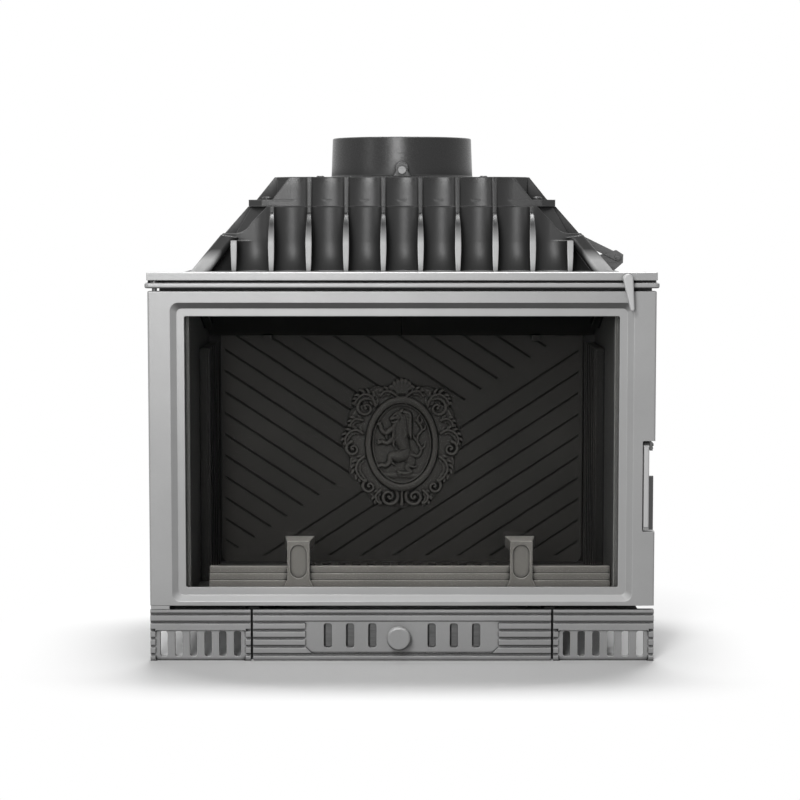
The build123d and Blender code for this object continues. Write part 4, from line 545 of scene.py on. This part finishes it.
# foot: two large volutes that meet on the middle line
volute(19.5, -82, 15.5, 1.5, math.radians(95), 1, 3.4)
acanthus([(33, -72, 2.0), (40, -80, 1.9), (38, -89, 1.6), (31, -93, 1.2)], 4, 6.0)
raise_stroke([(0, -68, 3.0), (0, -80, 2.4), (0, -94, 3.2)], 3.2, 4.2)
print("leafy frame, highest point", round(float(height.max()), 1), "mm over the fireback")

# %% [markdown]
# ## Oval rim and the lion
# Inside a double rim lies a plain field with a rampant lion, the most common beast in heraldry. It is built like a
# drawing exercise: capsules for trunk and limbs, tapered strokes for mane and tail, then fine cuts for the hair, the
# toes and the face.

# %% Draw the rim, the field and the lion
def oval(half_x, half_z):
    """Distance-like value to an ellipse: 0 on it, negative inside, in mm."""
    return (np.hypot(X / half_x, Z / half_z) - 1) * (half_x + half_z) / 2


field = oval(47.5, 63.5)
height[:] = np.where(field < 0, 3.4 + 0.9 * np.exp(field / 6), height)
rim = 1 - np.abs(oval(51.5, 67.5)) / 4.6
height[:] = np.where(rim > 0, np.maximum(height, 7.3 + 1.6 * np.sqrt(np.clip(1 - (1 - rim) ** 2, 0, 1))), height)
lip = 1 - np.abs(oval(44.2, 60.2)) / 1.5
height[:] = np.where(lip > 0, np.maximum(height, 3.6 + 1.8 * np.sqrt(np.clip(1 - (1 - lip) ** 2, 0, 1))), height)


def lion(points, base=3.4, lift=3.2):
    raise_stroke(points, base, lift)


# ground, then far limbs, then trunk, near limbs and head, each a little prouder
lion([(-27, -47, 2.5), (-12, -49, 4.2), (6, -48.5, 4.6), (22, -50, 3.4), (30, -47, 1.6)], 3.3, 1.6)
lion([(-3, 12, 6.0), (-14, 6, 4.6), (-23, 1, 3.4), (-30, 3, 3.2), (-34, 1, 2.4)], 3.4, 2.4)
lion([(10, -18, 9.5), (14, -29, 6.5), (8, -37, 4.0), (13, -43.5, 3.2), (4, -46, 3.0), (-1, -45, 2.4)], 3.4, 2.6)
lion([(-4, 30, 10.0), (-4, 20, 12.5), (0, 6, 10.5), (4, -6, 8.0), (6, -16, 9.5)], 3.4, 4.2)
lion([(5, -16, 11.0), (-6, -20, 8.6), (-16, -19, 5.6), (-19, -28, 4.0), (-25, -34, 3.3), (-31, -33, 3.0),
      (-35, -34.5, 2.2)], 3.4, 4.0)
lion([(-7, 24, 7.0), (-17, 21, 4.8), (-25, 16.5, 3.8), (-31, 22, 3.3), (-33, 28, 3.3), (-36, 31, 2.0)], 3.4, 4.0)
lion([(2, 40, 9.5), (5, 30, 9.0), (6, 18, 6.0), (4, 10, 2.5)], 3.4, 4.6)
lion([(-4, 43, 8.2), (-9, 41.5, 5.6), (-14.5, 39, 3.6), (-16, 38, 2.8)], 3.4, 5.2)
lion([(-7, 36, 4.4), (-12, 33, 2.4), (-14, 33.5, 1.8)], 3.4, 4.2)
lion([(-1, 50, 2.8), (1.5, 53, 1.4)], 3.4, 5.2)
lion([(-11, 45, 2.2), (-8, 46.5, 2.0)], 3.4, 5.7)
# tail in a double bend, with two tufts and a flame at its end
lion([(15, -17, 3.4), (25, -19, 2.4), (30, -9, 2.0), (24, 2, 1.9), (25, 13, 1.9), (31, 21, 1.9), (27, 31, 2.4),
      (22, 36, 1.6)], 3.4, 2.9)
for tuft in ([(24, 4, 2.0), (19, 9, 1.6), (17, 14, 0.9)], [(30, 20, 2.0), (35, 23, 1.5), (36, 28, 0.9)],
             [(27, 30, 2.4), (31, 35, 2.0), (29, 41, 0.9)], [(26, 31, 2.2), (24, 39, 1.8), (27, 45, 0.8)],
             [(29, -8, 2.0), (34, -5, 1.5), (36, 1, 0.8)]):
    lion(tuft, 3.4, 2.8)
# flames of the mane down the neck and the chest, and of the elbows and the hocks
for lock in range(8):
    fall = lock / 7
    lion([(4 + 5 * fall, 49 - 31 * fall, 3.2), (11 + 2 * fall, 47 - 33 * fall, 2.4),
          (15 - fall, 41 - 33 * fall, 1.0)], 3.4, 4.4)
    lion([(-6 - 1.5 * fall, 33 - 17 * fall, 2.8), (-12 - fall, 29 - 17 * fall, 2.1),
          (-14, 24 - 17 * fall, 0.9)], 3.4, 4.4 - fall)
for lock in ([(-22, 18, 2.0), (-24, 12, 1.5), (-22, 7, 0.7)], [(-12, 5, 2.0), (-13, -1, 1.5), (-11, -6, 0.7)],
             [(12, -34, 2.2), (19, -36, 1.6), (23, -34, 0.8)], [(-17, -26, 2.0), (-13, -31, 1.5), (-9, -33, 0.7)]):
    lion(lock, 3.4, 3.2)
# toes: three short claws on each paw
for paw_x, paw_z, bearing in ((-34, 29, 110), (-33, 2, 175), (-34, -34, 190), (-2, -45, 190)):
    for claw in (-38, 0, 38):
        turn = math.radians(bearing + claw)
        lion([(paw_x, paw_z, 2.0), (paw_x + 4.6 * math.cos(turn), paw_z + 4.6 * math.sin(turn), 1.2)], 3.4, 3.6)
# cuts: hair in the mane, flank, haunch, eye and mouth
for hair in range(7):
    cut_stroke([(0 + hair * 0.8, 48 - hair * 4.2, 0.6), (5 + hair * 0.7, 44 - hair * 4.4, 0.8),
                (7 + hair * 0.6, 38 - hair * 4.2, 0.5)], 1.3)
    cut_stroke([(-3, 34 - hair * 3.0, 0.6), (-8, 31 - hair * 3.0, 0.8), (-10.5, 26 - hair * 3.0, 0.5)], 1.2)
cut_stroke([(9, -7, 0.6), (0, -10, 0.9), (-5, -13, 0.6)], 1.4)
cut_stroke([(12, -12, 0.6), (8, -24, 0.8), (-2, -28, 0.6)], 1.2)
cut_stroke([(-17, 36, 0.9), (-12, 36.5, 0.9), (-8, 37.5, 0.6)], 2.4)
cut_stroke([(-11.5, 42.8, 1.0), (-9.5, 43.2, 0.9)], 1.8)
cut_stroke([(-7, 47, 0.6), (-3, 42, 0.8), (-3, 36, 0.6)], 1.2)
print("lion carved, highest point", round(float(height.max()), 1), "mm")

# %% [markdown]
# ## From height field to a solid piece
# Only the cells inside the outline become faces. A plain grid would leave a stepped edge, so each cell that the
# outline crosses is cut along it, as in marching squares: the crossing point on every side of the cell is found from
# the heights at its ends. A wall then drops from the outline into the fireback, and a back closes the piece.

# %% Cut the outline and build the relief
def relief_mesh(name, level=0.0, sink=-3.2):
    verts, faces, index = [], [], {}

    def corner(i, j):
        key = (i, j)
        if key not in index:
            index[key] = len(verts)
            verts.append((X[i, j], Z[i, j], height[i, j]))
        return index[key]

    def crossing(a, b):
        key = (a, b) if a < b else (b, a)
        if key not in index:
            (i, j), (k, m) = key
            t = (level - height[i, j]) / (height[k, m] - height[i, j])
            t = min(max(t, 0.02), 0.98)
            index[key] = len(verts)
            verts.append((X[i, j] + t * (X[k, m] - X[i, j]), Z[i, j] + t * (Z[k, m] - Z[i, j]), level))
        return index[key]

    smooth = height.copy()
    smooth[1:-1, 1:-1] = (height[1:-1, 1:-1] * 4 + height[:-2, 1:-1] + height[2:, 1:-1] + height[1:-1, :-2]
                          + height[1:-1, 2:]) / 8
    height[:] = np.where(height > level, np.maximum(smooth, np.minimum(height, 3.2)), height)
    for i in range(X.shape[0] - 1):
        for j in range(X.shape[1] - 1):
            ring = [(i, j), (i + 1, j), (i + 1, j + 1), (i, j + 1)]
            inside = [height[c] > level for c in ring]
            if not any(inside):
                continue
            face = []
            for here, after, inner, inner_after in zip(ring, ring[1:] + ring[:1], inside, inside[1:] + inside[:1]):
                if inner:
                    face.append(corner(*here))
                if inner != inner_after:
                    face.append(crossing(here, after))
            if len(face) > 2:
                faces.append(face)
    mesh = bpy.data.meshes.new(name)
    mesh.from_pydata([(x * MM, (FIREBACK_Y - h) * MM, (MEDALLION_Z + z) * MM) for x, z, h in verts], [], faces)
    shape = bmesh.new()
    shape.from_mesh(mesh)
    rim_edges = [edge for edge in shape.edges if len(edge.link_faces) == 1]
    wall = bmesh.ops.extrude_edge_only(shape, edges=rim_edges)["geom"]
    for vert in wall:
        if isinstance(vert, bmesh.types.BMVert):
            vert.co.y = (FIREBACK_Y - sink) * MM
    low_edges = [edge for edge in shape.edges if len(edge.link_faces) == 1]
    bmesh.ops.triangle_fill(shape, use_beauty=True, edges=low_edges)
    bmesh.ops.recalc_face_normals(shape, faces=shape.faces)
    for face in shape.faces:
        face.smooth = abs(face.normal.y) > 0.12
    shape.to_mesh(mesh)
    open_edges = sum(len(edge.link_faces) != 2 for edge in shape.edges)
    shape.free()
    piece = bpy.data.objects.new(name, mesh)
    bpy.context.collection.objects.link(piece)
    print(name, "faces", len(mesh.polygons), "open edges", open_edges)
    return piece


def soften(field, times):
    """Blurs a field by averaging each point with its four neighbours."""
    for _ in range(times):
        padded = np.pad(field, 1, mode="edge")
        field = (padded[:-2, 1:-1] + padded[2:, 1:-1] + padded[1:-1, :-2] + padded[1:-1, 2:] + 2 * field) / 6
    return field


medallion = relief_mesh("medallion_relief")
# painted shade in the relief's hollows and a painted highlight on its crests, from each point's height over its blurred
# surroundings
clipped = np.maximum(height, 0)
crest = np.clip((clipped - soften(clipped, 14)) / 1.6, -1, 1)
marks = medallion.data.attributes.new("crest", "FLOAT", "POINT")
for number, vert in enumerate(medallion.data.vertices):
    i = min(max(round((vert.co.x / MM + SHIELD_X) / RELIEF_STEP), 0), X.shape[0] - 1)
    j = min(max(round((vert.co.z / MM - MEDALLION_Z + SHIELD_Z) / RELIEF_STEP), 0), X.shape[1] - 1)
    marks.data[number].value = float(crest[i, j])
carved = finish["firebox_iron"].copy()
carved.name = "carved black iron"
carved_tree = carved.node_tree
skin = next(node for node in carved_tree.nodes if node.bl_idname == "ShaderNodeGroup")
crest_value = add_node(carved_tree, "ShaderNodeAttribute", attribute_name="crest").outputs["Fac"]
hollow_shade_crest_highlight = add_node(carved_tree, "ShaderNodeMix", {"A": grey(0.002), "B": grey(0.10, 0.04)}, data_type="RGBA")
wire(carved_tree, (map_range(carved_tree, crest_value, -0.5, 0.7, 0.0, 1.0), hollow_shade_crest_highlight.inputs["Factor"]),
     (hollow_shade_crest_highlight.outputs["Result"], skin.inputs["Paint"]))
medallion.data.materials.append(carved)
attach(medallion, "root")

# %% [markdown]
# ## Door seal, twisted by Geometry Nodes
# A glass-fibre rope lies in a groove around the door and is squeezed when the door shuts. It is three yarns twisted
# round one another. Modelling turns by hand would take thousands of clicks, but the rule is short: follow the
# rounded rectangle of the groove, and move each yarn sideways by a cosine and outwards by a sine of the distance
# travelled. A small tree of nodes does this for each yarn with another starting phase.

# %% Build the rope tree
def rope_tree(finish_material):
    tree = bpy.data.node_groups.new("twisted seal rope", "GeometryNodeTree")
    sizes = (("Path Width", 0.6), ("Path Height", 0.4), ("Corner Radius", 0.008), ("Yarn Radius", 0.002),
             ("Twist Radius", 0.0015), ("Turn Length", 0.016), ("Point Spacing", 0.0016))
    for name, value in sizes:
        tree.interface.new_socket(name, in_out="INPUT", socket_type="NodeSocketFloat").default_value = value
    tree.interface.new_socket("Geometry", in_out="OUTPUT", socket_type="NodeSocketGeometry")
    given = add_node(tree, "NodeGroupInput").outputs
    result = add_node(tree, "NodeGroupOutput")
    path = add_node(tree, "GeometryNodeCurvePrimitiveQuadrilateral", mode="RECTANGLE")
    rounded = add_node(tree, "GeometryNodeFilletCurve", mode="POLY")
    rounded.inputs["Count"].default_value = 6
    spaced = add_node(tree, "GeometryNodeResampleCurve", mode="LENGTH")
    wire(tree, (given["Path Width"], path.inputs["Width"]), (given["Path Height"], path.inputs["Height"]),
         (path.outputs["Curve"], rounded.inputs["Curve"]), (given["Corner Radius"], rounded.inputs["Radius"]),
         (rounded.outputs["Curve"], spaced.inputs["Curve"]), (given["Point Spacing"], spaced.inputs["Length"]))
    travelled = add_node(tree, "GeometryNodeSplineParameter").outputs["Length"]
    turns = add_node(tree, "ShaderNodeMath", operation="DIVIDE")
    angle = add_node(tree, "ShaderNodeMath", {1: 2 * math.pi}, operation="MULTIPLY")
    tangent = add_node(tree, "GeometryNodeInputTangent").outputs["Tangent"]
    sideways = add_node(tree, "ShaderNodeVectorMath", {1: (0.0, 0.0, 1.0)}, operation="CROSS_PRODUCT")
    wire(tree, (travelled, turns.inputs[0]), (given["Turn Length"], turns.inputs[1]),
         (turns.outputs[0], angle.inputs[0]), (tangent, sideways.inputs[0]))
    yarn_section = add_node(tree, "GeometryNodeCurvePrimitiveCircle", {"Resolution": 8}, mode="RADIUS")
    wire(tree, (given["Yarn Radius"], yarn_section.inputs["Radius"]))
    joined = add_node(tree, "GeometryNodeJoinGeometry")
    for yarn in range(3):
        phase = add_node(tree, "ShaderNodeMath", {1: yarn * 2 * math.pi / 3}, operation="ADD")
        wire(tree, (angle.outputs[0], phase.inputs[0]))
        shift = add_node(tree, "ShaderNodeVectorMath", operation="ADD")
        for operation, direction, slot in (("COSINE", sideways.outputs["Vector"], 0), ("SINE", None, 1)):
            wave = add_node(tree, "ShaderNodeMath", operation=operation)
            amount = add_node(tree, "ShaderNodeMath", operation="MULTIPLY")
            push = add_node(tree, "ShaderNodeVectorMath", {0: (0.0, 0.0, 1.0)}, operation="SCALE")
            wire(tree, (phase.outputs[0], wave.inputs[0]), (wave.outputs[0], amount.inputs[0]),
                 (given["Twist Radius"], amount.inputs[1]), (amount.outputs[0], push.inputs["Scale"]),
                 (push.outputs["Vector"], shift.inputs[slot]))
            if direction is not None:
                wire(tree, (direction, push.inputs[0]))
        moved = add_node(tree, "GeometryNodeSetPosition")
        swept = add_node(tree, "GeometryNodeCurveToMesh")
        wire(tree, (spaced.outputs["Curve"], moved.inputs["Geometry"]),
             (shift.outputs["Vector"], moved.inputs["Offset"]), (moved.outputs["Geometry"], swept.inputs["Curve"]),
             (yarn_section.outputs["Curve"], swept.inputs["Profile Curve"]),
             (swept.outputs["Mesh"], joined.inputs["Geometry"]))
    smooth = add_node(tree, "GeometryNodeSetShadeSmooth")
    real = add_node(tree, "GeometryNodeRealizeInstances")
    dressed = add_node(tree, "GeometryNodeSetMaterial", {"Material": finish_material})
    wire(tree, (joined.outputs["Geometry"], smooth.inputs["Geometry"]),
         (smooth.outputs["Geometry"], real.inputs["Geometry"]), (real.outputs["Geometry"], dressed.inputs["Geometry"]),
         (dressed.outputs["Geometry"], result.inputs["Geometry"]))
    return tree


def grow(name, tree, values, place=None):
    """Runs a node tree with named values and returns its result as a plain mesh object."""
    carrier = bpy.data.objects.new(name, bpy.data.meshes.new(name + " seed"))
    bpy.context.collection.objects.link(carrier)
    modifier = carrier.modifiers.new("grow", "NODES")
    modifier.node_group = tree
    for item in tree.interface.items_tree:
        if item.in_out == "INPUT" and item.name in values:
            modifier[item.identifier] = values[item.name]
    evaluated = carrier.evaluated_get(bpy.context.evaluated_depsgraph_get())
    mesh = bpy.data.meshes.new_from_object(evaluated)
    carrier.modifiers.remove(modifier)
    if place is not None:
        mesh.transform(place)
    carrier.data = mesh
    mesh.name = name
    print(name, "faces", len(mesh.polygons))
    return carrier


rope_low, rope_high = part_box("door_seal_rope")
rope_thick = rope_high.y - rope_low.y
lay_flat = (Matrix.Translation((rope_low + rope_high) / 2) @ Matrix.Rotation(math.pi / 2, 4, "X"))
seal = grow("twisted_seal_rope", rope_tree(finish["seal_rope"]),
            {"Path Width": rope_high.x - rope_low.x - rope_thick, "Path Height": rope_high.z - rope_low.z - rope_thick,
             "Corner Radius": 0.008, "Yarn Radius": rope_thick * 0.27, "Twist Radius": rope_thick * 0.22,
             "Turn Length": rope_thick * 2.6, "Point Spacing": 0.0022}, lay_flat)
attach(seal, "door")
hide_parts("door_seal_rope")

# %% [markdown]
# ## Studio
# The insert stands on a pale floor in front of white. A key lamp and a tall strip hang in front to the left, a narrow
# lamp at the side gives the left flanks an edge, and a strong one above lights the tops of the bars and ribs. The
# world seen by the camera and by reflections is white, while the light that it sheds is weaker, so that the grooves
# stay dark. The floor throws back less light than it shows, for the same reason, and fades into the white around.

# %% Floor, world and lamps
def viewed(tree, amount=None):
    """1 for what the camera sees directly, in a reflection or through glass, times an amount."""
    path = add_node(tree, "ShaderNodeLightPath")
    mirrored = add_node(tree, "ShaderNodeMath", operation="MAXIMUM")
    seen = add_node(tree, "ShaderNodeMath", operation="MAXIMUM")
    wire(tree, (path.outputs["Is Camera Ray"], mirrored.inputs[0]), (path.outputs["Is Glossy Ray"], mirrored.inputs[1]),
         (mirrored.outputs[0], seen.inputs[0]), (path.outputs["Is Transmission Ray"], seen.inputs[1]))
    if amount is None:
        return seen.outputs[0]
    share = add_node(tree, "ShaderNodeMath", operation="MULTIPLY")
    wire(tree, (seen.outputs[0], share.inputs[0]), (amount, share.inputs[1]))
    return share.outputs[0]


FADE_START, FADE_END = 0.40, 0.62
floor_mesh = bpy.data.meshes.new("floor")
floor_mesh.from_pydata([(-14, -6, 0), (14, -6, 0), (14, 60, 0), (-14, 60, 0)], [], [(0, 1, 2, 3)])
floor = bpy.data.objects.new("floor", floor_mesh)
bpy.context.collection.objects.link(floor)
pale = bpy.data.materials.new("pale floor")
pale.use_nodes = True
pale_tree = pale.node_tree
pale_tree.nodes["Principled BSDF"].inputs["Roughness"].default_value = 0.9
speck = add_node(pale_tree, "ShaderNodeTexNoise", {"Scale": 60.0, "Detail": 3.0})
pale_tint = add_node(pale_tree, "ShaderNodeMix", {"A": grey(0.86), "B": grey(0.90)}, data_type="RGBA")
bounced = add_node(pale_tree, "ShaderNodeMix", {"A": grey(0.12)}, data_type="RGBA")
wire(pale_tree, (speck.outputs["Fac"], pale_tint.inputs["Factor"]), (viewed(pale_tree), bounced.inputs["Factor"]),
     (pale_tint.outputs["Result"], bounced.inputs["B"]),
     (bounced.outputs["Result"], pale_tree.nodes["Principled BSDF"].inputs["Base Color"]))
glow = add_node(pale_tree, "ShaderNodeEmission", {"Color": grey(1.0), "Strength": 1.0})
pale_mix = add_node(pale_tree, "ShaderNodeMixShader")
floor_place = add_node(pale_tree, "ShaderNodeTexCoord").outputs["Object"]
from_middle = add_node(pale_tree, "ShaderNodeVectorMath", operation="LENGTH")
wire(pale_tree, (floor_place, from_middle.inputs[0]))
fade = map_range(pale_tree, from_middle.outputs["Value"], FADE_START, FADE_END, 0.0, 1.0)
wire(pale_tree, (viewed(pale_tree, fade), pale_mix.inputs[0]),
     (pale_tree.nodes["Principled BSDF"].outputs[0], pale_mix.inputs[1]), (glow.outputs[0], pale_mix.inputs[2]),
     (pale_mix.outputs[0], pale_tree.nodes["Material Output"].inputs["Surface"]))
floor_mesh.materials.append(pale)

world = bpy.data.worlds.new("studio")
bpy.context.scene.world = world
world.use_nodes = True
world_tree = world.node_tree
world_tree.nodes.clear()
AMBIENT = 0.08
seen = add_node(world_tree, "ShaderNodeBackground", {"Color": grey(1.0), "Strength": 1.0})
shed = add_node(world_tree, "ShaderNodeBackground", {"Color": grey(1.0), "Strength": AMBIENT})
world_mix = add_node(world_tree, "ShaderNodeMixShader")
world_out = add_node(world_tree, "ShaderNodeOutputWorld")
wire(world_tree, (viewed(world_tree), world_mix.inputs[0]), (shed.outputs[0], world_mix.inputs[1]),
     (seen.outputs[0], world_mix.inputs[2]), (world_mix.outputs[0], world_out.inputs["Surface"]))


def soft_lamp(name, place, aim, size, power):
    """A rectangular area lamp turned towards a point."""
    data = bpy.data.lights.new(name, "AREA")
    data.shape = "RECTANGLE"
    data.size, data.size_y = size
    data.energy = power
    lamp = bpy.data.objects.new(name, data)
    bpy.context.collection.objects.link(lamp)
    lamp.location = place
    lamp.rotation_euler = (Vector(aim) - Vector(place)).to_track_quat("-Z", "Y").to_euler()
    return lamp


soft_lamp("key lamp", (-0.6, -2.6, 1.7), (0, 0, 0.35), (0.7, 0.7), 29)
soft_lamp("strip lamp", (-0.45, -3.3, 0.95), (0, 0, 0.5), (0.5, 1.0), 40)
soft_lamp("side lamp", (-2.2, -1.6, 1.0), (0, 0, 0.4), (0.4, 1.4), 5)
soft_lamp("top lamp", (0.1, 0.6, 2.6), (0, 0, 0.2), (1.2, 0.5), 68)
bpy.context.scene.view_settings.view_transform = "Standard"
